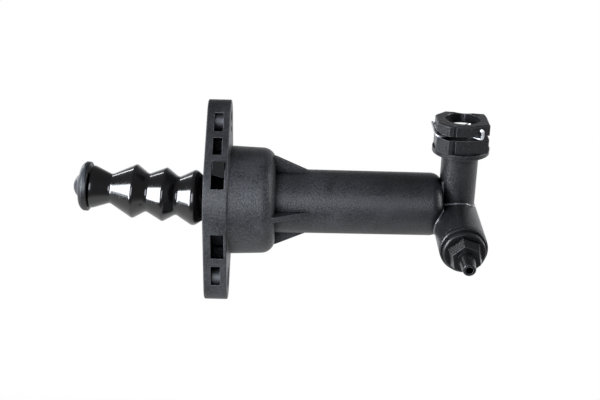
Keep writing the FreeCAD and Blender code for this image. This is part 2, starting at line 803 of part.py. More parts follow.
def make_piston():
    guide_floor = piston_r - d.guide_ring_thick
    wiper_floor = piston_r - d.wiper_thick
    guide_end = guide_ring_start + d.guide_ring_width
    wiper_end = wiper_start + d.wiper_width
    seat_r = ball_r + d.ball_fit
    edge = d.piston_nose_length / 10
    outline = [
        (piston_start, socket_r),
        (piston_start, piston_r - edge),
        (piston_start + edge, piston_r),
        (guide_ring_start, piston_r),
        (guide_ring_start, guide_floor),
        (guide_end, guide_floor),
        (guide_end, piston_r),
        (wiper_start, piston_r),
        (wiper_start, wiper_floor),
        (wiper_end, wiper_floor),
        (wiper_end, piston_r),
        (piston_body_end, piston_r),
        (piston_body_end, nose_r),
        (piston_end - edge, nose_r),
        (piston_end, nose_r - edge),
        (piston_end, 0),
        (ball_x + seat_r, 0),
        left(seat_r),
        (ball_x, seat_r),
        (ball_x, socket_r),
    ]
    turned("piston", outline)


def make_piston_rings():
    outer = bore_r - d.piston_fit / 3
    guide_floor = piston_r - d.guide_ring_thick
    wiper_floor = piston_r - d.wiper_thick
    guide_end = guide_ring_start + d.guide_ring_width
    turned(
        "piston_guide_ring",
        rectangle(guide_ring_start + d.slip, guide_end - d.slip, guide_floor + d.slip / 2, outer),
    )
    start = wiper_start + d.slip
    end = wiper_start + d.wiper_width - d.slip
    middle = (start + end) / 2
    low = wiper_floor + d.slip / 2
    outline = [
        (start, low),
        (start, outer),
        (middle - d.wiper_thick / 4, outer),
        (middle, outer - d.wiper_thick / 3),
        (middle + d.wiper_thick / 4, outer),
        (end, outer),
        (end, low),
    ]
    turned("secondary_seal", outline)


cup_start = piston_body_end + d.slip
cup_end = cup_start + d.cup_length
seat_start = cup_end + d.gap


def make_pressure_cup():
    outer = bore_r - d.piston_fit / 3
    hold = nose_r + d.slip / 2
    web = d.cup_wall * 1.6
    groove = hold + d.cup_wall
    outline = [
        (cup_start, hold),
        (cup_start, outer - d.cup_wall / 3),
        (cup_start + web, outer - d.cup_wall / 3),
        (cup_end - d.cup_wall / 2, outer),
        (cup_end, outer - d.cup_wall / 2),
        (cup_end - d.cup_wall / 2, outer - d.cup_wall),
        (cup_start + web, (outer + groove) / 2 + d.slip),
        (cup_start + web, (outer + groove) / 2 - d.slip),
        (cup_end - d.cup_wall, groove),
        (cup_end - d.cup_wall, hold),
    ]
    turned("pressure_cup", outline)


spring_start = seat_start + d.seat_face


def make_spring_seat():
    wide = (d.spring_dia + d.spring_wire) / 2 + d.gap
    pilot = (d.spring_dia - d.spring_wire) / 2 - d.gap
    outline = [
        (piston_end + d.slip, 0),
        (piston_end + d.slip, pilot / 2),
        (seat_start, pilot / 2),
        (seat_start, wide),
        (spring_start, wide),
        (spring_start, pilot),
        (spring_start + d.seat_rim, pilot - d.slip),
        (spring_start + d.seat_rim, 0),
    ]
    turned("spring_seat", outline)


def make_preload_spring():
    """A round wire wound from the spring seat to the bottom of the bore."""
    wire_r = d.spring_wire / 2
    start = spring_start + wire_r
    end = bore_end - wire_r
    body = new_body("preload_spring")
    sketch = new_sketch(body, "spring_wire", "XZ_Plane")
    draw_circle(sketch, start, d.spring_dia / 2, wire_r)
    coil = body.newObject("PartDesign::AdditiveHelix", "spring_coil")
    coil.Profile = sketch
    coil.ReferenceAxis = (sketch, ["H_Axis"])
    coil.Mode = "height-turns-angle"
    bind(coil, "Height", end - start)
    bind(coil, "Turns", d.spring_turns)
    coil.Angle = 0


# Push rod, its cap and its ball joint, drawn along their own axis from the ball's centre

lean_angle = d.rod_lean.number
rod_seat = Placement(Vector(ball_x.number, 0, 0), Rotation(Vector(0, 1, 0), lean_angle))
cap_back = d.rod_reach - d.cap_disc_back
cap_start = cap_back - d.cap_neck_length
spigot_end = cap_back + d.cap_socket_depth


def make_ball_retainer():
    outer = socket_r - d.slip / 2
    mouth = hold_r + d.ball_fit * 16
    outline = [
        (piston_start + d.gap, mouth),
        (piston_start + d.gap, outer),
        (ball_x - d.gap, outer),
        (ball_x - d.gap, root(hold_seat_r * hold_seat_r - d.gap * d.gap)),
        left(hold_seat_r),
        (hold_x, hold_r),
        (hold_x - d.gap, hold_r),
    ]
    turned("ball_retainer", outline)


def make_push_rod():
    """Ball, neck and shank, with a spigot that the cap is moulded over."""
    neck_r = d.rod_neck_dia / 2
    rod_r = d.rod_dia / 2
    spigot_r = rod_r * 0.7
    leave = root(ball_r * ball_r - neck_r * neck_r)
    neck_end = d.ball_depth + d.gap
    outline = [
        (-spigot_end, 0),
        (-spigot_end, spigot_r),
        (-cap_start, spigot_r),
        (-cap_start, rod_r),
        (-(neck_end + rod_r - neck_r), rod_r),
        (-neck_end, neck_r),
        (-leave, neck_r),
        right(ball_r),
        (0, ball_r),
        right(ball_r),
        (ball_r, 0),
    ]
    turned("push_rod", outline, rod_seat)


def make_rod_end_cap():
    """A domed nose on a wide disc."""
    spigot_r = d.rod_dia / 2 * 0.7 + d.slip / 2
    disc_r = d.cap_disc_dia / 2
    tip_r = d.cap_tip_dia / 2
    rise = d.cap_tip_rise
    edge = d.cap_disc_thick / 5
    outline = [
        (-d.rod_reach, 0),
        right((tip_r * tip_r + rise * rise) / (2 * rise)),
        (-(d.rod_reach - rise), tip_r),
        left(d.cap_nose_dia / 2),
        (-(d.rod_reach - d.cap_nose_rise), d.cap_nose_dia / 2),
        right(d.cap_disc_back - d.cap_nose_rise),
        (-(cap_back + d.cap_disc_thick), disc_r),
        (-(cap_back + edge), disc_r),
        (-cap_back, disc_r - edge),
        (-cap_back, d.cap_neck_dia / 2),
        (-cap_start, d.cap_neck_dia / 2),
        (-cap_start, spigot_r),
        (-(spigot_end + d.slip), spigot_r),
        (-(spigot_end + d.slip), 0),
    ]
    turned("rod_end_cap", outline, rod_seat)


# Boot: round sections along a line that rises from the flange to the leaning rod

lip_out = (cap_back - d.gap) * math.cos(math.radians(lean_angle)) - ball_x
lip_rise = cap_back * math.sin(math.radians(lean_angle))
boot_slope = lip_rise / lip_out
boot_lean = math.degrees(math.atan(boot_slope.number))
waist_out = lip_out - d.boot_cone
fold_pitch = (waist_out - d.boot_flank - d.boot_first_out) / 2


def boot_sections():
    """Each section: place along the cylinder, outer radius, inner radius and lean in degrees."""
    wall = d.boot_wall
    grip = d.rod_dia / 2 + d.gap
    neck_grip = d.cap_neck_dia / 2 + d.gap
    neck_end = d.cap_neck_length + d.gap
    lip_r = d.boot_lip_dia / 2
    lip_in = d.boot_lip_length
    half_fold = d.boot_fold_dia / 2
    cone_r = lip_r - wall / 2
    waist_r = d.boot_waist_dia / 2
    sections = [
        (-lip_out, lip_r, neck_grip, lean_angle),
        (-(lip_out - lip_in), lip_r, neck_grip, lean_angle),
        (-(lip_out - neck_end), cone_r, neck_grip, lean_angle),
        (-(lip_out - neck_end - d.slip), cone_r - d.slip / 2, grip, lean_angle),
        (-waist_out, waist_r, waist_r - wall, boot_lean),
    ]
    for fold in (2, 1, 0):
        peak_dia = d.boot_last_peak_dia if fold == 0 else d.boot_peak_dia
        peak = -(d.boot_first_out + fold_pitch * fold)
        peak_r = peak_dia / 2
        lean = boot_lean / 2 if fold == 0 else boot_lean
        sections.append((peak, peak_r, peak_r - wall, lean))
        lean = boot_lean / 4 if fold == 0 else boot_lean
        sections.append((peak + d.boot_fold_back, half_fold, half_fold - wall, lean))
    face = d.retainer_set + d.retainer_face + d.gap
    root_r = d.boot_root_dia / 2
    inner = half_fold - wall
    sections.append((face - d.slip, half_fold, inner, 0))
    sections.append((face, root_r, inner, 0))
    sections.append((face + d.boot_root_thick, root_r, inner, 0))
    return sections


def make_boot():
    body = new_body("boot")
    for side, kind in ((1, "PartDesign::AdditiveLoft"), (2, "PartDesign::SubtractiveLoft")):
        rings = []
        for number, section in enumerate(boot_sections()):
            along, lean = section[0], section[3]
            rise = -(boot_slope * along).number if along.number < 0 else 0
            seat = Placement(Vector(0, rise, along.number), Rotation(Vector(1, 0, 0), lean))
            sketch = new_sketch(body, f"boot_ring_{side}_{number}", "YZ_Plane", seat)
            rings.append(draw_circle(sketch, 0, 0, section[side]))
        loft = body.newObject(kind, f"boot_skin_{side}")
        loft.Profile = rings[0]
        loft.Sections = rings[1:]
        loft.Ruled = True


# Wire clip of the pipe port


def rounded_path(points, radii):
    """A wire through points as straight runs joined by tangent arcs, one radius for each inner point."""
    edges = []
    run_start = points[0]
    for before, corner, after, radius in zip(points, points[1:], points[2:], radii):
        arriving = (corner - before).normalize()
        leaving = (after - corner).normalize()
        half_turn = arriving.getAngle(leaving) / 2
        cut = radius * math.tan(half_turn)
        bend_start = corner - arriving * cut
        bend_end = corner + leaving * cut
        inward = (leaving - arriving).normalize()
        middle = corner + inward * (radius / math.cos(half_turn) - radius)
        edges.append(Part.LineSegment(run_start, bend_start).toShape())
        edges.append(Part.Arc(bend_start, middle, bend_end).toShape())
        run_start = bend_end
    edges.append(Part.LineSegment(run_start, points[-1]).toShape())
    return Part.Wire(edges)


def make_retaining_clip():
    """One wire: a bow outside the head, two legs through its slots, and flared ends bent up and hooked."""
    wire_r = d.clip_wire.number / 2
    leg = d.clip_leg_out.number
    bow_x = -d.clip_bow_out.number
    bow_y = d.clip_bow_half.number
    shoulder_x = -d.clip_shoulder_x.number
    shoulder_y = d.clip_shoulder_y.number
    end_x = d.clip_flare_start.number + d.clip_flare.number
    end_y = leg + d.clip_flare.number
    rise = d.clip_end_rise.number
    hook = d.clip_hook.number * math.sqrt(0.5)
    tight = d.clip_wire.number
    loose = tight * 2
    half_path = [
        (end_x - hook, -(end_y + hook), rise, None),
        (end_x, -end_y, rise, tight * 0.75),
        (end_x, -end_y, 0, tight),
        (d.clip_flare_start.number, -leg, 0, loose),
        (-leg, -leg, 0, loose),
        (shoulder_x, -shoulder_y, 0, tight),
        (bow_x, -bow_y, d.clip_bow_rise.number, loose),
    ]
    path = half_path + [(x, -y, z, radius) for x, y, z, radius in reversed(half_path)]
    points = [Vector(x, y, z) for x, y, z, _ in path]
    wire = rounded_path(points, [radius for *_, radius in path[1:-1]])
    start = points[0]
    section = Part.Wire([Part.Circle(start, points[1] - start, wire_r).toShape()])
    clip = doc.addObject("Part::Feature", "retaining_clip")
    clip.Label = "retaining_clip"
    clip.Shape = wire.makePipeShell([section], True, True)
    clip.Placement = Placement(
        cross_point + port_way * clip_height.number, turned_about_x
    )
    subparts.append(clip)


# Bleed screw, its bush and their rings, drawn along the bleed axis from the cross axis

bleed_axis_seat = Placement(bleed_foot, Rotation(Vector(1, 0, 0), bleed_way))
bush_r = d.bush_dia / 2
bush_start = d.bleed_reach - d.bush_depth
bush_flange_end = d.bleed_reach + d.bush_flange_thick
bush_end = bush_flange_end + d.bush_step_thick
screw_r = d.screw_dia / 2
screw_nose_r = d.screw_nose_dia / 2
screw_hex_start = bush_end + d.gap
screw_hex_end = screw_hex_start + d.screw_hex_tall
bush_ring_x = bush_start + d.bush_depth * 0.4
screw_ring_x = bush_end - d.o_ring_thick * 2


def make_bleed_bush():
    groove_half = d.bush_o_ring_thick / 2 + d.slip
    groove_floor = bush_r - d.bush_o_ring_thick - d.slip
    edge = d.bush_flange_thick / 4
    hole_r = screw_r + d.slip
    outline = [
        (bush_start, hole_r),
        (bush_start, bush_r),
        (bush_ring_x - groove_half, bush_r),
        (bush_ring_x - groove_half, groove_floor),
        (bush_ring_x + groove_half, groove_floor),
        (bush_ring_x + groove_half, bush_r),
        (d.bleed_reach, bush_r),
        (d.bleed_reach, d.bush_flange_dia / 2),
        (bush_flange_end - edge, d.bush_flange_dia / 2),
        (bush_flange_end, d.bush_flange_dia / 2 - edge),
        (bush_flange_end, d.bush_step_dia / 2),
        (bush_end - edge, d.bush_step_dia / 2),
        (bush_end, d.bush_step_dia / 2 - edge),
        (bush_end, hole_r),
    ]
    turned("bleed_bush", outline, bleed_axis_seat)


def make_ring(name, along, inner, thick):
    """An O-ring."""
    body = new_body(name)
    sketch = new_sketch(body, name + "_section", "XZ_Plane")
    draw_circle(sketch, along, inner + thick / 2, thick / 2)
    turn(body, sketch)
    body.Placement = bleed_axis_seat


def make_bleed_rings():
    bush_floor = bush_r - d.bush_o_ring_thick - d.slip
    make_ring("bleed_bush_o_ring", bush_ring_x, bush_floor + d.slip / 2, d.bush_o_ring_thick)
    screw_floor = screw_r - d.o_ring_thick - d.slip
    make_ring("bleed_o_ring", screw_ring_x, screw_floor + d.slip, d.o_ring_thick)


def make_bleed_screw():
    hole_r = d.bleed_hole / 2
    seat_x = bush_start - d.gap - screw_nose_r
    nipple_r = d.nipple_dia / 2
    tip_r = d.nipple_tip_dia / 2
    groove_half = d.o_ring_thick / 2 + d.slip
    groove_floor = screw_r - d.o_ring_thick - d.slip
    shank_start = bush_start + d.screw_nose_dia / 2
    tip = screw_hex_end + d.nipple_length
    nipple_end = tip - d.slip * 5
    hole_end = shank_start - d.bleed_hole * 1.5
    outline = [
        (seat_x, 0),
        (seat_x + screw_nose_r - d.slip, screw_nose_r - d.slip),
        (shank_start, screw_nose_r),
        (shank_start + screw_r - screw_nose_r, screw_r),
        (screw_ring_x - groove_half, screw_r),
        (screw_ring_x - groove_half, groove_floor),
        (screw_ring_x + groove_half, groove_floor),
        (screw_ring_x + groove_half, screw_r),
        (screw_hex_start, screw_r),
        (screw_hex_end, screw_r),
        (screw_hex_end, nipple_r),
        (nipple_end, tip_r),
        (tip, tip_r - d.slip * 4),
        (tip, hole_r),
        (hole_end, hole_r),
        (hole_end, 0),
    ]
    body = turned("bleed_screw", outline, bleed_axis_seat)
    seat = Placement(Vector(0, 0, screw_hex_start.number), Rotation())
    sketch = new_sketch(body, "hexagon_foot", "YZ_Plane", seat)
    draw(sketch, polygon(d.screw_hex_wide, 6, d.screw_hex_turn.number))
    draw_circle(sketch, 0, 0, screw_r - d.slip)
    pad(body, sketch, d.screw_hex_foot)
    ends = []
    for along, flats in (
        (screw_hex_start + d.screw_hex_foot, d.screw_hex_wide), (screw_hex_end, d.screw_hex)
    ):
        seat = Placement(Vector(0, 0, along.number), Rotation())
        ends.append(new_sketch(body, "hexagon_end", "YZ_Plane", seat))
        draw(ends[-1], polygon(flats, 6, d.screw_hex_turn.number))
    hexagon = body.newObject("PartDesign::AdditiveLoft", "tapered_hexagon")
    hexagon.Profile = ends[0]
    hexagon.Sections = ends[1:]
    hexagon.Ruled = True
    bore = new_sketch(body, "screw_bore", "XZ_Plane")
    draw(bore, rectangle(hole_end, tip, 0, hole_r))
    turn(body, bore, cut=True)
    seat = Placement(Vector(0, 0, -d.screw_dia.number), Rotation())
    sketch = new_sketch(body, "screw_cross_hole", "XZ_Plane", seat)
    draw_circle(sketch, shank_start - d.bleed_hole * 0.9, 0, hole_r * 0.75)
    pocket(body, sketch, d.screw_dia * 2, with_normal=True)


make_housing()
make_bolt_sleeves()
make_boot_retainer()
make_stop_ring()
make_piston()
make_piston_rings()
make_pressure_cup()
make_spring_seat()
make_preload_spring()
make_ball_retainer()
make_push_rod()
make_rod_end_cap()
make_boot()
make_retaining_clip()
make_bleed_bush()
make_bleed_rings()
make_bleed_screw()

# Nothing is written unless every feature came out whole

doc.recompute()
failed = [item.Name for item in doc.Objects if {"Invalid", "Error"} & set(item.State)]
broken = [part.Label for part in subparts if part.Shape.isNull() or not part.Shape.isValid()]
if failed or broken:
    raise RuntimeError(f"failed features {failed}, broken pieces {broken}")
os.makedirs("parts", exist_ok=True)
for part in subparts:
    solids = len(part.Shape.Solids)
    part.Shape.exportStep(os.path.join("parts", part.Label + ".step"))
    print(f"{part.Label}: {solids} solid, {part.Shape.Volume:.1f} cubic mm")
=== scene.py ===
# %% [markdown]
# # A clutch slave cylinder, dressed for a product picture
# The real part is a black moulded housing with a rubber bellows, a push rod that ends in a grey
# plastic cap, a pipe port with a wire clip and a bleed screw. Its solids come ready from the frame,
# each at its true size and place. This lesson gives every surface its finish, models the soft and
# springy pieces that plain solids can't show, and lights the part the way a catalogue does.
# Lengths are in metres. Sizes that are easier to read in millimetres are written with MM.

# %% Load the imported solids
import bmesh
import bpy
import json
import math
from mathutils import Matrix, Vector


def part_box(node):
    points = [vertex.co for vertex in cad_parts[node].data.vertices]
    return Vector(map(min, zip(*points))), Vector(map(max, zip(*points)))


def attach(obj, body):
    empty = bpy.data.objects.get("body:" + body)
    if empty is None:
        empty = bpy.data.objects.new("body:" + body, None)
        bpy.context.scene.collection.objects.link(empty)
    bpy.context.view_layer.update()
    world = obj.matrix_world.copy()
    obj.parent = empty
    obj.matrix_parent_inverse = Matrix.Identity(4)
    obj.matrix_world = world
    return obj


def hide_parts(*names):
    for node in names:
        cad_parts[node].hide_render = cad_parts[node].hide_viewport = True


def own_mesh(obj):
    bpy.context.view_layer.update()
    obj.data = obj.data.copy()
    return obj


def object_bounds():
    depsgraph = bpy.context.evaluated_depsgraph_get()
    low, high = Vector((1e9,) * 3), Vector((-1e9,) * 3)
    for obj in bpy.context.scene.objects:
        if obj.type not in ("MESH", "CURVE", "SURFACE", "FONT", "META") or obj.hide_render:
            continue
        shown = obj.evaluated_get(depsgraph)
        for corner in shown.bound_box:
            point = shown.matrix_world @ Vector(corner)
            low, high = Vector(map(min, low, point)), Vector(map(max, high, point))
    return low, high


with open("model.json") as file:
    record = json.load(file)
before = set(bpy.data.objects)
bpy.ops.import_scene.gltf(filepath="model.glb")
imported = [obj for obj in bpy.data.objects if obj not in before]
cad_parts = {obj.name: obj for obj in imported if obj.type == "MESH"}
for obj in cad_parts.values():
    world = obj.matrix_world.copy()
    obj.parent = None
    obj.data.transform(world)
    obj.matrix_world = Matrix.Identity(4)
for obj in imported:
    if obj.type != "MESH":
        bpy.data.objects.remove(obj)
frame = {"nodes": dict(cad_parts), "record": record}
cad_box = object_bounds()
nodes = frame["nodes"]
MM = 0.001


# %% [markdown]
# ## Colours and nodes
# Paint chips are usually given as sRGB hex values, but the renderer works in linear light, so one
# function does the conversion. Node trees get long when every node takes five lines, so another
# function adds a node with its settings and its links in one call.

# %% Colour and node helpers
def linear(hex_colour, alpha=1.0):
    """An sRGB hex value such as "#3a3b3e" as linear red, green, blue and alpha."""
    parts = [int(hex_colour[i : i + 2], 16) / 255 for i in (1, 3, 5)]
    curve = [c / 12.92 if c <= 0.04045 else ((c + 0.055) / 1.055) ** 2.4 for c in parts]
    return (*curve, alpha)


def add_node(tree, kind, settings=None, links=None):
    """A new node. A setting is an input socket's value where one has that name, else a property."""
    node = tree.nodes.new(kind)
    for name, value in (settings or {}).items():
        if not isinstance(name, int) and name not in node.inputs:
            setattr(node, name, value)
    for name, value in (settings or {}).items():
        if isinstance(name, int) or name in node.inputs:
            node.inputs[name].default_value = value
    for name, socket in (links or {}).items():
        tree.links.new(socket, node.inputs[name])
    return node


def new_material(name):
    material = bpy.data.materials.new(name)
    material.use_nodes = True
    material.node_tree.nodes.clear()
    return material, material.node_tree


def coarseness(size):
    """The Scale of a noise whose spots are about as wide as size, in metres."""
    return 1 / size


print("a mid grey, linear:", [round(c, 3) for c in linear("#808080")])


# %% [markdown]
# ## Moulded plastic
# The housing is nylon filled with glass fibre, shot into a spark-eroded steel mould. The mould
# leaves an even, fine grain, and the fibres near the skin make it a touch mottled: satin rather
# than glossy. Two noises do this: a fine one for grain and a broad one for flow marks. The mould
# is newer at the ports than at the flange, so the far end is smoother: a share of the place along
# the cylinder. Painted shade darkens the colour towards the ports and towards the top, where less
# light falls, by the same kind of share.

# %% Grain, flow marks and painted shade
GRAIN = 0.65 * MM  # real grain is nearer 0.2 mm, too fine to show at this distance
FLOW_MARKS = 14 * MM
GRAIN_WEIGHT = 2.2  # how many times more than the flow marks the grain counts in the colour
MOTTLE = (1.3, 1.9)  # the weighted sum of both noises where the colour is darkest and palest
NOISE_SPAN = (0.3, 0.7)  # a noise with little detail seldom leaves this span
# Painted shade: the black that the colour is darkened towards.
PAINTED_SHADE_BLACK = (0.004, 0.004, 0.0045, 1)  # linear: the darkest that such plastic gets


def mottled_skin(tree, place, dark, light, rough, grain):
    """The grain's height, and the colour and roughness that grain and flow marks give."""
    fine = add_node(
        tree, "ShaderNodeTexNoise",
        {"Scale": coarseness(grain), "Detail": 2.0, "Roughness": 0.6}, {"Vector": place},
    )
    broad = add_node(
        tree, "ShaderNodeTexNoise",
        {"Scale": coarseness(FLOW_MARKS), "Detail": 1.0, "Distortion": 0.6}, {"Vector": place},
    )
    mottle = add_node(
        tree, "ShaderNodeMath", {"operation": "MULTIPLY_ADD", 1: GRAIN_WEIGHT},
        {0: fine.outputs["Fac"], 2: broad.outputs["Fac"]},
    )
    spread = add_node(
        tree, "ShaderNodeMapRange", {"From Min": MOTTLE[0], "From Max": MOTTLE[1]},
        {"Value": mottle.outputs[0]},
    )
    colour = add_node(
        tree, "ShaderNodeMix", {"data_type": "RGBA", 6: linear(dark), 7: linear(light)},
        {0: spread.outputs["Result"]},
    )
    gloss = add_node(
        tree, "ShaderNodeMapRange",
        {"From Min": NOISE_SPAN[0], "From Max": NOISE_SPAN[1], "To Min": rough[0],
         "To Max": rough[1]},
        {"Value": broad.outputs["Fac"]},
    )
    return fine.outputs["Fac"], colour.outputs[2], gloss.outputs["Result"]


def share_along(tree, place, axis, start, end):
    """0 where a piece's axis value is start and 1 where it is end, in metres, changing softly."""
    parts = add_node(tree, "ShaderNodeSeparateXYZ", links={0: place})
    return add_node(
        tree, "ShaderNodeMapRange",
        {"interpolation_type": "SMOOTHSTEP", "From Min": start, "From Max": end},
        {"Value": parts.outputs[axis]},
    ).outputs["Result"]


def darkened(tree, place, colour, painted_shade_ramps):
    """The colour, blackened towards each end as painted shade. An end is its axis, start, end and
    how black.
    """
    for axis, start, end, most in painted_shade_ramps:
        share = add_node(
            tree, "ShaderNodeMath", {"operation": "MULTIPLY", 1: most},
            {0: share_along(tree, place, axis, start, end)},
        )
        colour = add_node(
            tree, "ShaderNodeMix", {"data_type": "RGBA", 7: PAINTED_SHADE_BLACK}, {0: share.outputs[0], 6: colour}
        ).outputs[2]
    return colour


print("grain", round(GRAIN / MM, 2), "mm and flow marks", round(FLOW_MARKS / MM), "mm wide")


# %% [markdown]
# Nothing moulded has a razor edge, so a Bevel node softens the shading along every edge by the
# mould maker's usual radius. Where that softened direction differs most from the flat face, the
# edge is made glossier and painted pale, a painted highlight along the open outer edges. Pockets
# get painted shade instead: where little light gets in, Ambient Occlusion takes colour and sheen
# away, and the edges inside them get no painted highlight.

# %% Painted edge highlights and painted shade in pockets
# Painted shade in pockets: Ambient Occlusion darkens colour and sheen where walls stand near.
RECESS_REACH = 6 * MM  # how far the walls round a pocket may be to leave it dark
POCKET_TO_OPEN = (0.35, 0.85)  # the occlusion value of a deep pocket and of an open face
POCKET_LEFT = 0.1  # what a deep pocket keeps of its colour and sheen
# Painted highlight: open outer edges are painted pale and made glossier.
EDGE_TURN = (0.97, 0.8)  # cosine of the turn at an edge where the rubbing starts and is full
OPEN_EDGE_SPAN = (0.6, 0.9)  # the occlusion value of an edge out of a hand's reach and well in it
EDGE_HIGHLIGHT_SHARE = 0.6  # how much of an outer edge's grain has been rubbed bright
EDGE_HIGHLIGHT_COLOUR = "#8b8e94"
EDGE_ROUGHNESS = 0.24


def edges_and_pockets(tree, edge):
    """How much painted shade a place gets, its direction with the edges softened, and its painted
    edge highlight.
    """
    light_in = add_node(
        tree, "ShaderNodeAmbientOcclusion", {"samples": 8, "Distance": RECESS_REACH}
    ).outputs["AO"]
    pocket_shade_factor = add_node(
        tree, "ShaderNodeMapRange",
        {"From Min": POCKET_TO_OPEN[0], "From Max": POCKET_TO_OPEN[1], "To Min": POCKET_LEFT},
        {"Value": light_in},
    )
    soft_edge = add_node(tree, "ShaderNodeBevel", {"samples": 6, "Radius": edge})
    face = add_node(tree, "ShaderNodeNewGeometry").outputs["True Normal"]
    turned = add_node(
        tree, "ShaderNodeVectorMath", {"operation": "DOT_PRODUCT"},
        {0: soft_edge.outputs[0], 1: face},
    )
    on_edge = add_node(
        tree, "ShaderNodeMapRange",
        {"From Min": EDGE_TURN[0], "From Max": EDGE_TURN[1], "To Max": EDGE_HIGHLIGHT_SHARE},
        {"Value": turned.outputs["Value"]},
    )
    open_edge = add_node(
        tree, "ShaderNodeMapRange",
        {"interpolation_type": "SMOOTHSTEP", "From Min": OPEN_EDGE_SPAN[0], "From Max": OPEN_EDGE_SPAN[1]},
        {"Value": light_in},
    )
    edge_highlight = add_node(
        tree, "ShaderNodeMath", {"operation": "MULTIPLY"},
        {0: on_edge.outputs["Result"], 1: open_edge.outputs["Result"]},
    )
    return pocket_shade_factor.outputs["Result"], soft_edge.outputs[0], edge_highlight.outputs[0]


# The painted edge highlight starts at this turn.
print("rubbing starts at a turn of", round(math.degrees(math.acos(EDGE_TURN[0]))), "degrees")


# %% [markdown]
# With those helpers a moulded plastic is one recipe: a mottled skin, a painted highlight on its
# edges and painted shade in its pockets. The other plastic pieces differ only in colour, grain and
# gloss.

# %% Moulded plastic finishes
PLASTIC_IOR = 1.53  # nylon's, and near enough for the filled ring


def moulded_plastic(
    name, dark, light, rough, grain_depth, edge, grain=GRAIN, painted_shade_ramps=(), smooth=None, shine=0.5
):
    """Grained plastic. dark and light are the mottled colours, rough the least and most roughness.

    edge is the radius of its edges, smooth is (start, end, roughness) along the cylinder, and
    shine is the specular level of an open face.
    """
    material, tree = new_material(name)
    place = add_node(tree, "ShaderNodeTexCoord").outputs["Object"]
    height, tone, roughness = mottled_skin(tree, place, dark, light, rough, grain)
    # Painted shade: the colour darkens towards the given ends.
    tone = darkened(tree, place, tone, painted_shade_ramps)
    if smooth:
        start, end, least = smooth
        roughness = add_node(
            tree, "ShaderNodeMix", {3: least},
            {0: share_along(tree, place, "X", start, end), 2: roughness},
        ).outputs[0]
    pocket_shade_factor, soft_normal, edge_highlight = edges_and_pockets(tree, edge)
    # Painted highlight: open outer edges are painted pale.
    polished = add_node(
        tree, "ShaderNodeMix", {"data_type": "RGBA", 7: linear(EDGE_HIGHLIGHT_COLOUR)}, {0: edge_highlight, 6: tone}
    )
    edge_roughness = add_node(
        tree, "ShaderNodeMix", {3: EDGE_ROUGHNESS}, {0: edge_highlight, 2: roughness}
    )
    # Painted shade: colour and sheen fall away in pockets.
    shaded = add_node(
        tree, "ShaderNodeVectorMath", {"operation": "SCALE"},
        {0: polished.outputs[2], "Scale": pocket_shade_factor},
    )
    sheen = add_node(
        tree, "ShaderNodeMath", {"operation": "MULTIPLY", 1: shine}, {0: pocket_shade_factor}
    )
    bump = add_node(
        tree, "ShaderNodeBump", {"Strength": 1.0, "Distance": grain_depth},
        {"Height": height, "Normal": soft_normal},
    )
    skin = add_node(
        tree, "ShaderNodeBsdfPrincipled", {"IOR": PLASTIC_IOR},
        {"Base Color": shaded.outputs[0], "Roughness": edge_roughness.outputs[0],
         "Specular IOR Level": sheen.outputs[0], "Normal": bump.outputs[0]},
    )
    add_node(tree, "ShaderNodeOutputMaterial", links={"Surface": skin.outputs[0]})
    return material


# Filled nylon from a spark-eroded mould: satin, with a grain that low light picks out. Painted
# shade darkens it towards the ports and towards the top.
glass_filled_nylon = moulded_plastic(
    "glass_filled_nylon_spark_eroded", "#202123", "#424347", (0.36, 0.44), 0.2 * MM, 0.45 * MM,
    painted_shade_ramps=[("X", 30 * MM, 98 * MM, 0.58), ("Z", 12 * MM, 30 * MM, 0.34)],
    smooth=(80 * MM, 98 * MM, 0.3),
)
# Unfilled black nylon, deep inside the bell: plain and nearly without sheen.
black_nylon = moulded_plastic(
    "black_nylon_moulded", "#060607", "#0b0b0c", (0.5, 0.6), 0.02 * MM, 0.25 * MM, shine=0.15
)
# Grey nylon from a smooth mould, pale on its dome. Painted shade darkens it below, and it turns
# nearly black behind the dome's face.
grey_nylon = moulded_plastic(
    "grey_nylon_moulded", "#3c3f43", "#4a4d52", (0.3, 0.4), 0.012 * MM, 0.3 * MM, 1.2 * MM,
    painted_shade_ramps=[("X", -51.9 * MM, -51.5 * MM, 0.9), ("Z", 8 * MM, -2 * MM, 0.85)],
)
# Unfilled nylon from a polished mould: glossier and blacker than the housing.
screw_nylon = moulded_plastic(
    "bleed_screw_nylon_moulded", "#0f0f11", "#17171a", (0.22, 0.32), 0.012 * MM, 0.4 * MM
)
# The same nylon as the screw's, a shade duller.
bush_nylon = moulded_plastic(
    "bleed_bush_nylon_moulded", "#121214", "#1b1b1e", (0.26, 0.36), 0.012 * MM, 0.25 * MM
)
# Filled PTFE: brown, waxy and even.
guide_ring_plastic = moulded_plastic(
    "filled_ptfe_ring", "#4a4036", "#5a4e42", (0.35, 0.45), 0.008 * MM, 0.1 * MM
)
print("plastics:", [m.name for m in bpy.data.materials])


# %% [markdown]
# ## Rubber and other smooth mouldings
# The bellows is black rubber pressed in a polished mould, so it is much glossier than the housing:
# the studio's light box shows in it as a crisp white patch. A thin clear coat gives that, and a
# broad noise breaks it up a little where hands have touched it. The seals are the same rubber
# from a duller mould. The bead on the housing is nylon that set against polished steel, so the
# same recipe makes it, painted paler as a painted highlight along its bright line.

# %% Smooth finishes
SMEARS = 5 * MM
SMEAR_SPAN = (0.35, 0.7)  # the noise where the skin is glossiest and dullest
SMOOTH_IOR = 1.52  # rubber's, and nearly nylon's


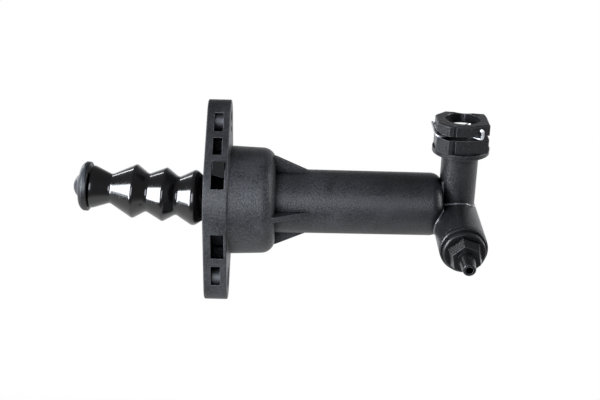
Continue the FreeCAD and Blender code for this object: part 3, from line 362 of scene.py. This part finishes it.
def smooth_moulding(name, colour, rough, wave_depth, shine):
    """A moulding without grain. shine is the weight of the gloss that a polished mould leaves."""
    material, tree = new_material(name)
    place = add_node(tree, "ShaderNodeTexCoord").outputs["Object"]
    smears = add_node(
        tree, "ShaderNodeTexNoise",
        {"Scale": coarseness(SMEARS), "Detail": 3.0, "Roughness": 0.65}, {"Vector": place},
    )
    gloss = add_node(
        tree, "ShaderNodeMapRange",
        {"From Min": SMEAR_SPAN[0], "From Max": SMEAR_SPAN[1], "To Min": rough[0],
         "To Max": rough[1]},
        {"Value": smears.outputs["Fac"]},
    )
    waves = add_node(
        tree, "ShaderNodeBump", {"Strength": 0.5, "Distance": wave_depth},
        {"Height": smears.outputs["Fac"]},
    )
    skin = add_node(
        tree, "ShaderNodeBsdfPrincipled",
        {"Base Color": linear(colour), "IOR": SMOOTH_IOR, "Coat Weight": shine,
         "Coat Roughness": 0.06, "Coat IOR": 1.5},
        {"Roughness": gloss.outputs["Result"], "Normal": waves.outputs[0]},
    )
    add_node(tree, "ShaderNodeOutputMaterial", links={"Surface": skin.outputs[0]})
    return material


# Rubber from a polished mould: black, with crisp white patches where a light box shows in it.
boot_rubber = smooth_moulding(
    "boot_rubber_polished_mould", "#0a090a", (0.14, 0.26), 0.05 * MM, 0.75
)
# Rubber from a plain mould: grey-black and dull.
seal_rubber = smooth_moulding("seal_rubber_matt", "#141416", (0.4, 0.5), 0.01 * MM, 0.0)
# Filled nylon that set against polished steel, painted paler than the housing as a painted
# highlight along its fine bright line.
bead_nylon = smooth_moulding(
    "glass_filled_nylon_polished_bead", "#4a4c50", (0.2, 0.3), 0.01 * MM, 1.0
)
print("smooth:", boot_rubber.name, seal_rubber.name, bead_nylon.name)


# %% [markdown]
# ## Metals
# The clip is bright drawn wire, the sleeves are zinc plated, the piston is turned aluminium and
# the rod plain steel. What tells them apart is how they were made: turning leaves rings across the
# axis, plating a soft cloudy gloss, and drawing an even one on a wire that is bent every way. Each
# metal is a stretched noise for those marks, and a roughness that follows it.

# %% Metal finishes
def worked_metal(name, colour, rough, mark, depth):
    """Metal with tool marks. mark is how long a mark is along x, y and z, in metres."""
    material, tree = new_material(name)
    place = add_node(tree, "ShaderNodeTexCoord").outputs["Object"]
    stretched = add_node(
        tree, "ShaderNodeMapping", {"Scale": [coarseness(size) for size in mark]},
        {"Vector": place},
    )
    marks = add_node(
        tree, "ShaderNodeTexNoise", {"Scale": 1.0, "Detail": 2.0},
        {"Vector": stretched.outputs[0]},
    )
    gloss = add_node(
        tree, "ShaderNodeMapRange",
        {"From Min": NOISE_SPAN[0], "From Max": NOISE_SPAN[1], "To Min": rough[0],
         "To Max": rough[1]},
        {"Value": marks.outputs["Fac"]},
    )
    bump = add_node(
        tree, "ShaderNodeBump", {"Strength": 0.4, "Distance": depth},
        {"Height": marks.outputs["Fac"]},
    )
    skin = add_node(
        tree, "ShaderNodeBsdfPrincipled", {"Base Color": linear(colour), "Metallic": 1.0},
        {"Roughness": gloss.outputs["Result"], "Normal": bump.outputs[0]},
    )
    add_node(tree, "ShaderNodeOutputMaterial", links={"Surface": skin.outputs[0]})
    return material


# Bright drawn wire: pale, with a soft gloss.
bright_clip_wire = worked_metal(
    "bright_drawn_wire", "#e2e4e8", (0.3, 0.42), (3 * MM, 3 * MM, 3 * MM), 0.005 * MM
)
# Zinc plate: a dull grey cloud.
zinc_plated_steel = worked_metal(
    "zinc_plated_steel", "#5c5d5f", (0.4, 0.55), (2.5 * MM, 2.5 * MM, 2.5 * MM), 0.01 * MM
)
# Turned aluminium: pale, with fine rings that spread the light along the axis.
turned_aluminium = worked_metal(
    "turned_aluminium", "#c3c5c8", (0.2, 0.34), (0.25 * MM, 8 * MM, 8 * MM), 0.01 * MM
)
# Turned steel: the same rings, darker.
push_rod_steel = worked_metal(
    "turned_steel", "#8e9196", (0.26, 0.4), (0.25 * MM, 8 * MM, 8 * MM), 0.01 * MM
)
# Oiled spring steel: dark, with a low gloss.
spring_steel = worked_metal(
    "oiled_spring_steel", "#5e6064", (0.24, 0.36), (2 * MM, 2 * MM, 2 * MM), 0.008 * MM
)
print("metals:", [m.name for m in (bright_clip_wire, zinc_plated_steel, turned_aluminium,
                                   push_rod_steel, spring_steel)])


# %% [markdown]
# ## Dressing the solids
# Every rigid solid keeps its shape and only takes a finish. The record already says what each piece
# is made of, so the finishes are matched to pieces by the record's own slots: nothing is named
# twice, and a piece that is added later needs no new line.

# %% Give each solid the finish of its slot
FINISHES = {
    "glass_filled_nylon": glass_filled_nylon,
    "zinc_plated_steel": zinc_plated_steel,
    "black_nylon": black_nylon,
    "spring_steel": spring_steel,
    "turned_aluminium": turned_aluminium,
    "seal_rubber": seal_rubber,
    "guide_ring_plastic": guide_ring_plastic,
    "push_rod_steel": push_rod_steel,
    "grey_nylon": grey_nylon,
    "boot_rubber": boot_rubber,
    "bright_clip_wire": bright_clip_wire,
    "bleed_bush_nylon": bush_nylon,
    "bleed_screw_nylon": screw_nylon,
}
for piece in frame["record"]["subparts"]:
    mesh = nodes[piece["node"]].data
    mesh.materials.clear()
    mesh.materials.append(FINISHES[piece["material_slot"]])
    print(piece["node"], "in", piece["material_slot"])


# %% [markdown]
# ## The bellows
# A rubber bellows is a solid of revolution: one wall, folded out and in along its length. It could
# be drawn as a surface and thickened, but then every fold would have the same radius inside and
# out. Drawing the section of the wall as one closed outline keeps control of each fold: the outer
# folds are nearly sharp and the inner ones round, as in the real mould. The outline is a few corner
# points, each with the radius that rounds it.

# %% The outline of the bellows wall
def rounded_outline(corners, steps=6):
    """A closed outline of (x, r) points. Each of the corners is (x, r, radius of its arc)."""
    outline = []
    count = len(corners)
    for index, (x, r, radius) in enumerate(corners):
        here = Vector((x, r))
        back = (Vector(corners[index - 1][:2]) - here).normalized()
        ahead = (Vector(corners[(index + 1) % count][:2]) - here).normalized()
        half = back.angle(ahead) / 2
        centre = here + (back + ahead).normalized() * (radius / math.sin(half))
        first = here + back * (radius / math.tan(half)) - centre
        last = here + ahead * (radius / math.tan(half)) - centre
        sweep = first.angle_signed(last)
        for step in range(steps + 1):
            turned = Matrix.Rotation(-sweep * step / steps, 2) @ first
            outline.append(centre + turned)
    return outline


WALL = 1.2  # these lengths are in millimetres: x along the cylinder, r from its axis
PEAK_WALL = 1.3 * WALL  # rubber gathers at the top of a fold
LIP_FRONT = -50.4
LIP_R = 9.5
RIM_END = (-48.8, 9.15)
NECK_GRIP_R = 6.05
NECK_END = -47.4
NECK_STEP = 0.4
ROD_GRIP_R = 4.8
WAIST = (-41.8, 6.35)
VALLEY_R = 8.25
PEAK_R = 12.0
FLANGE_PEAK_R = 12.6
FLANGE_PEAK = -5.2
PITCH = 13.1
PEAK_TO_VALLEY = 5.5
BELLOWS_END = 3.4

peaks = [(FLANGE_PEAK, FLANGE_PEAK_R, 2.2)]  # from the flange to the lip
peaks += [(FLANGE_PEAK - PITCH * fold, PEAK_R, 1.3) for fold in (1, 2)]

outer = [(LIP_FRONT, LIP_R, 0.5), (*RIM_END, 1.5), (*WAIST, 1.5)]
for x, r, rounding in reversed(peaks):
    outer += [(x, r, rounding), (x + PEAK_TO_VALLEY, VALLEY_R, 1.6)]
outer.append((BELLOWS_END, VALLEY_R, 0.3))

inner = [(BELLOWS_END, VALLEY_R - WALL, 0.2)]
for x, r, _ in peaks:
    if x != FLANGE_PEAK:
        inner.append((x + PEAK_TO_VALLEY, VALLEY_R - WALL, 2.2))
    inner.append((x, r - PEAK_WALL, 0.8))
inner += [
    (WAIST[0], WAIST[1] - WALL, 0.6),
    (NECK_END + NECK_STEP, ROD_GRIP_R, 0.2),
    (NECK_END, NECK_GRIP_R, 0.2),
    (LIP_FRONT, NECK_GRIP_R, 0.3),
]
wall_outline = rounded_outline(outer + inner)
print("wall outline:", len(wall_outline), "points")


# %% [markdown]
# ## Growing a piece from nodes
# The bellows, the spring, the clip and the bead each follow a rule. They could be modelled by
# hand, but then a new size would mean new work, so Geometry Nodes make them. A tree gets a line of
# points and a few named sizes. Its end makes instances real, because the export drops them, and
# gives the finish. The result is copied as a plain mesh and turned to face outwards, and the
# modifier is gone before anything else uses the piece.

# %% Helpers that grow a plain mesh
def growing_tree(name, inputs):
    """A tree that takes a line and the named inputs, and the sockets that it is given."""
    tree = bpy.data.node_groups.new(name, "GeometryNodeTree")
    face = tree.interface
    face.new_socket("Geometry", in_out="INPUT", socket_type="NodeSocketGeometry")
    for label, kind in inputs.items():
        face.new_socket(label, in_out="INPUT", socket_type="NodeSocket" + kind)
    face.new_socket("Geometry", in_out="OUTPUT", socket_type="NodeSocketGeometry")
    return tree, add_node(tree, "NodeGroupInput").outputs


def end_tree(tree, grown, finish):
    """Ends a tree: what has grown is made real and gets its finish."""
    real = add_node(tree, "GeometryNodeRealizeInstances", links={"Geometry": grown})
    painted = add_node(
        tree, "GeometryNodeSetMaterial", links={"Geometry": real.outputs[0], "Material": finish}
    )
    add_node(tree, "NodeGroupOutput", links={0: painted.outputs[0]})


def socket_key(tree, name):
    """The identifier of a tree's input, which is the key of the modifier's value."""
    for item in tree.interface.items_tree:
        if item.in_out == "INPUT" and item.name == name:
            return item.identifier
    raise KeyError(name)


def grown_mesh(name, tree, values, points=(), edges=()):
    """A plain mesh object from a node tree that was given points and edges."""
    seed = bpy.data.meshes.new(name + "_seed")
    seed.from_pydata(list(points), list(edges), [])
    holder = bpy.data.objects.new(name + "_holder", seed)
    bpy.context.scene.collection.objects.link(holder)
    modifier = holder.modifiers.new(name, "NODES")
    modifier.node_group = tree
    for key, value in values.items():
        modifier[socket_key(tree, key)] = value
    bpy.context.view_layer.update()
    evaluated = holder.evaluated_get(bpy.context.evaluated_depsgraph_get())
    mesh = bpy.data.meshes.new_from_object(evaluated)
    holder.modifiers.remove(modifier)
    bpy.data.objects.remove(holder)
    mesh.name = name
    face_outwards(mesh)
    piece = bpy.data.objects.new(name, mesh)
    bpy.context.scene.collection.objects.link(piece)
    return piece


def face_outwards(mesh):
    """Turns a closed mesh's faces outwards and shades it smooth."""
    work = bmesh.new()
    work.from_mesh(mesh)
    bmesh.ops.recalc_face_normals(work, faces=work.faces)
    if work.calc_volume(signed=True) < 0:
        bmesh.ops.reverse_faces(work, faces=work.faces)
    work.to_mesh(mesh)
    work.free()
    mesh.polygons.foreach_set("use_smooth", [True] * len(mesh.polygons))


print("ready to start a tree, end it and grow it into a mesh")


# %% [markdown]
# ## Spinning the bellows
# A grid is bent round: one side of the grid follows the outline, the other the circle. Two more
# inputs make it hang as it does on the part: the rod leans, so the folds rise towards the tip and
# tip over with it, while the end at the flange stays square to the cylinder.

# %% A node tree that spins an outline about a leaning axis
SEAM = 0.001 * MM  # points closer than this are one


def spinning_tree():
    """A grid bent round, the outline along it and the circle across it."""
    tree, given = growing_tree("spun_outline", {
        "Points along": "Int", "Points around": "Int", "Rise": "Float", "Lean": "Float",
        "Lean from": "Float", "Lean to": "Float", "Finish": "Material",
    })
    curve = add_node(tree, "GeometryNodeMeshToCurve", links={"Mesh": given["Geometry"]})
    grid = add_node(
        tree, "GeometryNodeMeshGrid", {"Size X": 1.0, "Size Y": 1.0},
        {"Vertices X": given["Points along"], "Vertices Y": given["Points around"]},
    )
    where = add_node(tree, "GeometryNodeInputPosition")
    share = add_node(
        tree, "ShaderNodeVectorMath", {"operation": "ADD", 1: (0.5, 0.5, 0.0)},
        {0: where.outputs[0]},
    )
    parts = add_node(tree, "ShaderNodeSeparateXYZ", links={0: share.outputs[0]})
    sample = add_node(
        tree, "GeometryNodeSampleCurve", {"mode": "FACTOR"},
        {"Curves": curve.outputs[0], "Factor": parts.outputs["X"]},
    )
    section = add_node(tree, "ShaderNodeSeparateXYZ", links={0: sample.outputs["Position"]})
    angle = add_node(
        tree, "ShaderNodeMath", {"operation": "MULTIPLY", 1: 2 * math.pi},
        {0: parts.outputs["Y"]},
    )
    radius = add_node(tree, "ShaderNodeCombineXYZ", links={"Z": section.outputs["Z"]})
    ring = add_node(
        tree, "ShaderNodeVectorRotate", {"rotation_type": "X_AXIS"},
        {"Vector": radius.outputs[0], "Angle": angle.outputs[0]},
    )
    lean = add_node(
        tree, "ShaderNodeMapRange", {"To Max": 0.0},
        {"Value": section.outputs["X"], "From Min": given["Lean from"],
         "From Max": given["Lean to"], "To Min": given["Lean"]},
    )
    leaning = add_node(
        tree, "ShaderNodeVectorRotate", {"rotation_type": "Y_AXIS"},
        {"Vector": ring.outputs[0], "Angle": lean.outputs["Result"]},
    )
    outward = add_node(
        tree, "ShaderNodeMath", {"operation": "MINIMUM", 1: 0.0}, {0: section.outputs["X"]}
    )
    rise = add_node(
        tree, "ShaderNodeMath", {"operation": "MULTIPLY"},
        {0: outward.outputs[0], 1: given["Rise"]},
    )
    centre = add_node(
        tree, "ShaderNodeCombineXYZ", links={"X": section.outputs["X"], "Z": rise.outputs[0]}
    )
    place = add_node(
        tree, "ShaderNodeVectorMath", {"operation": "ADD"},
        {0: centre.outputs[0], 1: leaning.outputs[0]},
    )
    bent = add_node(
        tree, "GeometryNodeSetPosition",
        links={"Geometry": grid.outputs["Mesh"], "Position": place.outputs[0]},
    )
    closed = add_node(
        tree, "GeometryNodeMergeByDistance", {"Distance": SEAM}, {"Geometry": bent.outputs[0]}
    )
    end_tree(tree, closed.outputs[0], given["Finish"])
    return tree


spin = spinning_tree()
print("spinning tree:", len(spin.nodes), "nodes")


# %% [markdown]
# The same tree spins the folds and the root that sits in the flange. The root is square to the
# cylinder, so it gets no rise and no lean, and a groove in its face leaves room for the end of the
# folds, which tips when the rod tilts. Its lengths are in millimetres too.

# %% Spin the bellows and its root
BOOT_RISE = 0.0857  # how far the rod climbs towards its tip for each length along the cylinder
BOOT_LEAN = math.radians(4.9)  # the same as an angle
LEAN_FULL = 2 * FLANGE_PEAK  # the folds lean fully from here to the lip


def spun_piece(name, outline, finish, around, rise=0.0, lean=0.0):
    """An outline in millimetres spun about the cylinder's axis, with around faces in a turn."""
    points = [(x * MM, 0, r * MM) for x, r in outline]
    edges = [(i, (i + 1) % len(points)) for i in range(len(points))]
    values = {
        "Points along": len(points) * 2 + 1,  # two faces on each edge of the outline
        "Points around": around + 1,
        "Rise": -rise,
        "Lean": lean,
        "Lean from": LEAN_FULL * MM,
        "Lean to": BELLOWS_END * MM,
        "Finish": finish,
    }
    return grown_mesh(name, spin, values, points, edges)


bellows = spun_piece(
    "bellows_folds", wall_outline, boot_rubber, around=96, rise=BOOT_RISE, lean=BOOT_LEAN
)

ROOT_FACE = 3.5
ROOT_BACK = 8.3
ROOT_R = 16.0
ROOT_BORE = 8.6  # the leaning rod stays clear of it, also when it is pushed home
GROOVE_R = 11.6  # the end of the folds tips in this groove without touching
GROOVE_DEEP = 1.6
root_outline = rounded_outline([
    (ROOT_FACE, ROOT_R, 0.7),
    (ROOT_BACK, ROOT_R, 1.0),
    (ROOT_BACK, ROOT_BORE, 0.4),
    (ROOT_FACE + GROOVE_DEEP, ROOT_BORE, 0.2),
    (ROOT_FACE + GROOVE_DEEP, GROOVE_R, 0.2),
    (ROOT_FACE, GROOVE_R, 0.2),
])
bellows_root = spun_piece("bellows_root", root_outline, boot_rubber, around=64)
for piece in (bellows, bellows_root):
    print(piece.name, len(piece.data.polygons), "faces, millimetres",
          [round(side / MM, 1) for side in piece.dimensions])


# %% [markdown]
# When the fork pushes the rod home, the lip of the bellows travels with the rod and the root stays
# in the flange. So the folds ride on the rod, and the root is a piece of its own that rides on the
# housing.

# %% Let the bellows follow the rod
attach(bellows, "rod")
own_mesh(bellows)
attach(bellows_root, "housing")
for piece in (bellows, bellows_root):
    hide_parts("boot")


# %% [markdown]
# ## The preload spring
# Behind the piston sits a coil spring that holds the rod against the fork. The nodes draw a spiral
# curve, lay it along the cylinder and sweep a round wire over it. It hides inside the barrel and
# rides on the housing at its full length, though the real one shortens as the piston comes back.

# %% Wind the spring
def coil_tree():
    """A round wire swept along a spiral that is laid along the cylinder."""
    tree, given = growing_tree("wound_spring", {
        "Turns": "Float", "Mean radius": "Float", "Wire radius": "Float", "Length": "Float",
        "Start": "Vector", "Finish": "Material",
    })
    spiral = add_node(
        tree, "GeometryNodeCurveSpiral", {"Resolution": 28},
        {"Rotations": given["Turns"], "Start Radius": given["Mean radius"],
         "End Radius": given["Mean radius"], "Height": given["Length"]},
    )
    laid = add_node(
        tree, "GeometryNodeTransform", {"Rotation": (0, math.pi / 2, 0)},
        {"Geometry": spiral.outputs[0], "Translation": given["Start"]},
    )
    wire = add_node(
        tree, "GeometryNodeCurvePrimitiveCircle", {"Resolution": 10},
        {"Radius": given["Wire radius"]},
    )
    swept = add_node(
        tree, "GeometryNodeCurveToMesh", {"Fill Caps": True},
        {"Curve": laid.outputs[0], "Profile Curve": wire.outputs[0]},
    )
    end_tree(tree, swept.outputs[0], given["Finish"])
    return tree


SPRING_TURNS = 6.0
SPRING_WIRE_R = 0.75 * MM

spring_low, spring_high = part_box("preload_spring")
mean_radius = (spring_high.z - spring_low.z) / 2 - SPRING_WIRE_R
spring_length = spring_high.x - spring_low.x
preload_coil = grown_mesh("preload_coil", coil_tree(), {
    "Turns": SPRING_TURNS,
    "Mean radius": mean_radius,
    "Wire radius": SPRING_WIRE_R,
    "Length": spring_length - 2 * SPRING_WIRE_R,
    "Start": (spring_low.x + SPRING_WIRE_R, 0.0, 0.0),
    "Finish": spring_steel,
})
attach(preload_coil, "housing")
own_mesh(preload_coil)
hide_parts("preload_spring")
print("spring:", round(spring_length / MM, 1), "mm long, mean radius", round(mean_radius / MM, 2))


# %% [markdown]
# ## The wire clip
# The clip that holds the pipe is one bright wire, bent cold. Its bow stands close to the head so
# that a screwdriver gets behind it, its legs run through the slots, and its ends are flared and
# hooked so that it isn't lost. A wire is a path with a round section, so nodes round the corners
# of a line and sweep a circle along it. The far end is bent up less than the near one, as on the
# real clip. The port is turned about the cylinder, so the path is written as seen along the port.

# %% Bend the wire clip
def wire_tree():
    """A round wire swept along a line whose corners are rounded."""
    tree, given = growing_tree("bent_wire", {
        "Bend radius": "Float", "Wire radius": "Float", "Finish": "Material",
    })
    line = add_node(tree, "GeometryNodeMeshToCurve", links={"Mesh": given["Geometry"]})
    bent = add_node(
        tree, "GeometryNodeFilletCurve", {"mode": "POLY", "Count": 7, "Limit Radius": True},
        {"Curve": line.outputs[0], "Radius": given["Bend radius"]},
    )
    section = add_node(
        tree, "GeometryNodeCurvePrimitiveCircle", {"Resolution": 14},
        {"Radius": given["Wire radius"]},
    )
    swept = add_node(
        tree, "GeometryNodeCurveToMesh", {"Fill Caps": True},
        {"Curve": bent.outputs[0], "Profile Curve": section.outputs[0]},
    )
    end_tree(tree, swept.outputs[0], given["Finish"])
    return tree


PORT_X = 108.6  # millimetres along the cylinder to the port's axis
PORT_TURN = math.radians(24)  # how far the port is turned about the cylinder
SLOT_OUT = 34.4  # how far up the port the clip's slots are, in millimetres
CLIP_BEND = 1.3 * MM
CLIP_WIRE_R = 0.6 * MM
CLIP_NEAR = [  # along the cylinder, across the head and up from the slots, in millimetres
    (6.1, -11.9, 4.3), (7.0, -11.0, 4.3), (7.0, -11.0, 0.0), (1.8, -5.8, 0.0), (-5.8, -5.8, 0.0),
    (-11.3, -8.4, 0.0), (-12.3, -4.6, 1.7),
]
CLIP_FAR = [
    (-12.3, 4.6, 1.7), (-11.3, 8.4, 0.0), (-5.8, 5.8, 0.0), (1.8, 5.8, 0.0), (7.0, 11.0, 0.0),
    (7.0, 11.0, 1.8),
]
up_the_port = Matrix.Rotation(PORT_TURN, 3, "X")
wires = wire_tree()


def swept_wire(name, path, bend, wire_r, finish):
    """A round wire along places given along the cylinder, across the port and up it."""
    points = [(up_the_port @ Vector(place) + Vector((PORT_X, 0, 0))) * MM for place in path]
    edges = [(i, i + 1) for i in range(len(points) - 1)]
    values = {"Bend radius": bend, "Wire radius": wire_r, "Finish": finish}
    return grown_mesh(name, wires, values, points, edges)


clip_path = [(x, y, SLOT_OUT + z) for x, y, z in CLIP_NEAR + CLIP_FAR]
wire_clip = swept_wire("wire_clip", clip_path, CLIP_BEND, CLIP_WIRE_R, bright_clip_wire)
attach(wire_clip, "clip")
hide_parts("retaining_clip")
print("clip:", len(wire_clip.data.polygons), "faces")


# %% [markdown]
# ## The bead where the tubes meet
# Where two slides of the mould meet against the barrel, the moulding keeps a smooth narrow bead. It
# runs down between the pipe port and the barrel, round the foot of the port and along the bleed
# tube, and the light box draws a fine bright line on it. Its path round the port's foot is worked
# out from the two tubes: a point of the foot lies on both tubes at once. The stretch down between
# the port and the barrel and along the bleed tube is listed point by point. The same nodes sweep
# it as the wire.

# %% Run the bead round the tee
PORT_R = 7.85  # the port's tube, in millimetres
BLEED_R = 10.1  # the bleed tube, which runs across under the port
BLEED_UP = -6.3  # its axis, as seen along the port
BEAD_BEND = 2.0 * MM
BEAD_R = 0.6 * MM
FOOT_STEPS = 18
FOOT_SWEEP = math.radians(147)  # from the far side to where the foot meets the barrel's end


def foot_of_port(angle):
    """A point that lies on both tubes, at an angle about the port's axis."""
    along, across = PORT_R * math.cos(angle), -PORT_R * math.sin(angle)
    return along, across, BLEED_UP + math.sqrt(BLEED_R ** 2 - along ** 2)


def bead(name, path):
    piece = swept_wire(name, path, BEAD_BEND, BEAD_R, bead_nylon)
    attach(piece, "housing")
    print(piece.name, len(piece.data.polygons), "faces")


foot_path = [foot_of_port(FOOT_SWEEP * step / FOOT_STEPS) for step in range(FOOT_STEPS + 1)]
barrel_end_path = [  # down between the port and the barrel, then down along the bleed tube
    (-6.9, -4.6, 12.6), (-6.75, -4.6, 7.0), (-6.75, -4.9, 2.0), (-6.8, -10.5, 1.5),
    (-8.6, -13.5, -1.0), (-9.7, -13.4, -3.2), (-10.1, -12.6, -6.3), (-9.5, -10.4, -9.4),
]
bead("port_foot_bead", foot_path)
bead("barrel_end_bead", barrel_end_path)


# %% [markdown]
# ## Camera
# The picture was taken from beside the part with a longish lens, a little turned, so the camera
# stands level with the cylinder and rolls by that small angle. The focal length is given in pixels
# of a 600 pixel wide picture, which is how it is measured on the photograph.

# %% Place the camera
PICTURE_WIDTH = 600
FOCAL_PIXELS = 1100
FILM_WIDTH = 36  # millimetres, so that the lens reads as on a usual camera
NEAREST = 0.01
CAMERA_PLACE = Vector((0.0406, -0.480, 0.0004))
CAMERA_ROLL = math.radians(-1.3)

camera_data = bpy.data.cameras.new("studio_camera")
camera_data.sensor_width = FILM_WIDTH
camera_data.lens = FOCAL_PIXELS / PICTURE_WIDTH * camera_data.sensor_width
camera_data.clip_start = NEAREST
camera = bpy.data.objects.new("studio_camera", camera_data)
bpy.context.scene.collection.objects.link(camera)
look = Matrix.Rotation(CAMERA_ROLL, 4, "Y") @ Matrix.Rotation(math.pi / 2, 4, "X")
camera.matrix_world = Matrix.Translation(CAMERA_PLACE) @ look
bpy.context.scene.camera = camera
print("lens:", round(camera_data.lens, 1), "mm")


# %% [markdown]
# ## Light
# The picture has a pure white ground, a large soft light near the camera, and a tall light box at
# the left that shows in the rubber as white patches. A narrow strip behind the part, high at the
# left, draws the thin lines along the tops of the folds, and a small box at the right lights the
# right sides of the ports. Light also comes up from the white table, so the undersides are paler
# than the tops. The room behind the camera is dim, which is what makes black rubber look black.
# So the world is white to the camera, and in reflections it is white only low behind the part.

# %% World and lamps
WORLD_TINT = "#f6f7fb"
AMBIENT_SPAN = (-0.8, 0.5)  # heights of a direction where the light is as below and as above
LOW_AND_BEHIND = (0, 1, -0.9)
MIRRORED_SPAN = (-0.1, 0.8)  # how far a direction is low and behind to mirror dim and bright


def studio_world(above, below, dim, bright):
    """How bright the studio is above and below the part, and least and most in its reflections."""
    world = bpy.data.worlds.new("studio")
    bpy.context.scene.world = world
    world.use_nodes = True
    tree = world.node_tree
    tree.nodes.clear()
    way = add_node(tree, "ShaderNodeTexCoord").outputs["Generated"]
    parts = add_node(tree, "ShaderNodeSeparateXYZ", links={0: way})
    ambient = add_node(
        tree, "ShaderNodeMapRange",
        {"interpolation_type": "SMOOTHSTEP", "From Min": AMBIENT_SPAN[0],
         "From Max": AMBIENT_SPAN[1], "To Min": below, "To Max": above},
        {"Value": parts.outputs["Z"]},
    )
    low_and_behind = add_node(
        tree, "ShaderNodeVectorMath", {"operation": "DOT_PRODUCT", 1: LOW_AND_BEHIND}, {0: way}
    )
    mirrored = add_node(
        tree, "ShaderNodeMapRange",
        {"interpolation_type": "SMOOTHSTEP", "From Min": MIRRORED_SPAN[0],
         "From Max": MIRRORED_SPAN[1], "To Min": dim, "To Max": bright},
        {"Value": low_and_behind.outputs["Value"]},
    )
    path = add_node(tree, "ShaderNodeLightPath").outputs
    lit = add_node(
        tree, "ShaderNodeMix",
        links={0: path["Is Glossy Ray"], 2: ambient.outputs["Result"],
               3: mirrored.outputs["Result"]},
    )
    direct = add_node(
        tree, "ShaderNodeMath", {"operation": "MAXIMUM"},
        {0: path["Is Camera Ray"], 1: path["Is Transmission Ray"]},
    )
    strength = add_node(
        tree, "ShaderNodeMix", {3: 1.0}, {0: direct.outputs[0], 2: lit.outputs[0]}
    )
    tint = add_node(
        tree, "ShaderNodeMix", {"data_type": "RGBA", 6: linear(WORLD_TINT), 7: (1, 1, 1, 1)},
        {0: direct.outputs[0]},
    )
    sky = add_node(
        tree, "ShaderNodeBackground",
        links={"Color": tint.outputs[2], "Strength": strength.outputs[0]},
    )
    add_node(tree, "ShaderNodeOutputWorld", links={"Surface": sky.outputs[0]})


def soft_box(name, place, aim, width, height, radiance, colour):
    """A rectangular lamp at place, turned to aim. radiance is its brightness, 1 being white."""
    lamp_data = bpy.data.lights.new(name, "AREA")
    lamp_data.shape = "RECTANGLE"
    lamp_data.size = width
    lamp_data.size_y = height
    lamp_data.energy = radiance * math.pi * width * height  # watts for that brightness
    lamp_data.color = linear(colour)[:3]
    lamp = bpy.data.objects.new(name, lamp_data)
    turn = (Vector(aim) - Vector(place)).to_track_quat("-Z", "Y")
    lamp.matrix_world = Matrix.Translation(place) @ turn.to_matrix().to_4x4()
    bpy.context.scene.collection.objects.link(lamp)


print("the world's tint, linear:", [round(c, 3) for c in linear(WORLD_TINT)])


# %% [markdown]
# The floor is a white card. It glows for the camera alone, so that it looks white without
# lighting the part, and a little less for reflections. Under the glow it is grey and matt, which
# lets the part's shadow show.

# %% Floor
FLOOR_DROP = 0.55  # the part hangs well above the floor, so that light reaches it from below
FLOOR_GLOW = 0.97
FLOOR_IN_GLOSS = 0.62  # the share of the glow that reflections see
CARD_GREY = (0.25, 0.25, 0.25, 1)


def pale_floor(height, side, front):
    """A square floor from front backwards, white to the eye, that takes a soft shadow."""
    mesh = bpy.data.meshes.new("studio_floor")
    half, back = side / 2, front + side
    mesh.from_pydata(
        [(x, y, height) for x, y in ((-half, front), (half, front), (half, back), (-half, back))],
        [], [(0, 1, 2, 3)],
    )
    floor = bpy.data.objects.new("studio_floor", mesh)
    bpy.context.scene.collection.objects.link(floor)
    material, tree = new_material("white_card")
    path = add_node(tree, "ShaderNodeLightPath").outputs
    straight = add_node(
        tree, "ShaderNodeMath", {"operation": "MAXIMUM"},
        {0: path["Is Camera Ray"], 1: path["Is Transmission Ray"]},
    )
    mirrored = add_node(
        tree, "ShaderNodeMath", {"operation": "MULTIPLY", 1: FLOOR_IN_GLOSS},
        {0: path["Is Glossy Ray"]},
    )
    seen = add_node(
        tree, "ShaderNodeMath", {"operation": "MAXIMUM"},
        {0: straight.outputs[0], 1: mirrored.outputs[0]},
    )
    glow = add_node(tree, "ShaderNodeEmission", {"Color": (1, 1, 1, 1), "Strength": FLOOR_GLOW})
    card = add_node(tree, "ShaderNodeBsdfDiffuse", {"Color": CARD_GREY})
    bright = add_node(tree, "ShaderNodeAddShader", links={0: glow.outputs[0], 1: card.outputs[0]})
    both = add_node(
        tree, "ShaderNodeMixShader",
        links={0: seen.outputs[0], 1: card.outputs[0], 2: bright.outputs[0]},
    )
    add_node(tree, "ShaderNodeOutputMaterial", links={"Surface": both.outputs[0]})
    mesh.materials.append(material)


print("the floor lies", FLOOR_DROP, "m under the part")


# %% [markdown]
# The world, each lamp and the floor are then one line each. A lamp's line gives its name, where it
# stands, what it points at, its width and height, how bright it looks and its colour. The
# Standard view transform shows every colour about as it is written.

# %% Set up the studio
studio_world(above=0.06, below=0.8, dim=0.16, bright=1.0)
soft_box("key_box", (-0.12, -0.60, -0.02), (0.02, 0, 0), 0.42, 0.36, 5.4, "#ebf0fa")
soft_box("right_box", (0.55, -0.02, 0.16), (0.10, 0, 0), 0.14, 0.4, 8.0, "#fbfdff")
soft_box("left_strip", (-0.45, 0.40, 0.34), (0.05, 0, 0), 0.05, 0.5, 9.0, "#fbfdff")
soft_box("left_box", (-0.55, -0.30, 0.0), (-0.03, 0, 0), 0.17, 0.54, 19.0, "#f4faff")
pale_floor(height=cad_box[0][2] - FLOOR_DROP, side=3.0, front=-0.25)
bpy.context.scene.view_settings.view_transform = "Standard"
print("lamps:", [lamp.name for lamp in bpy.data.lights])
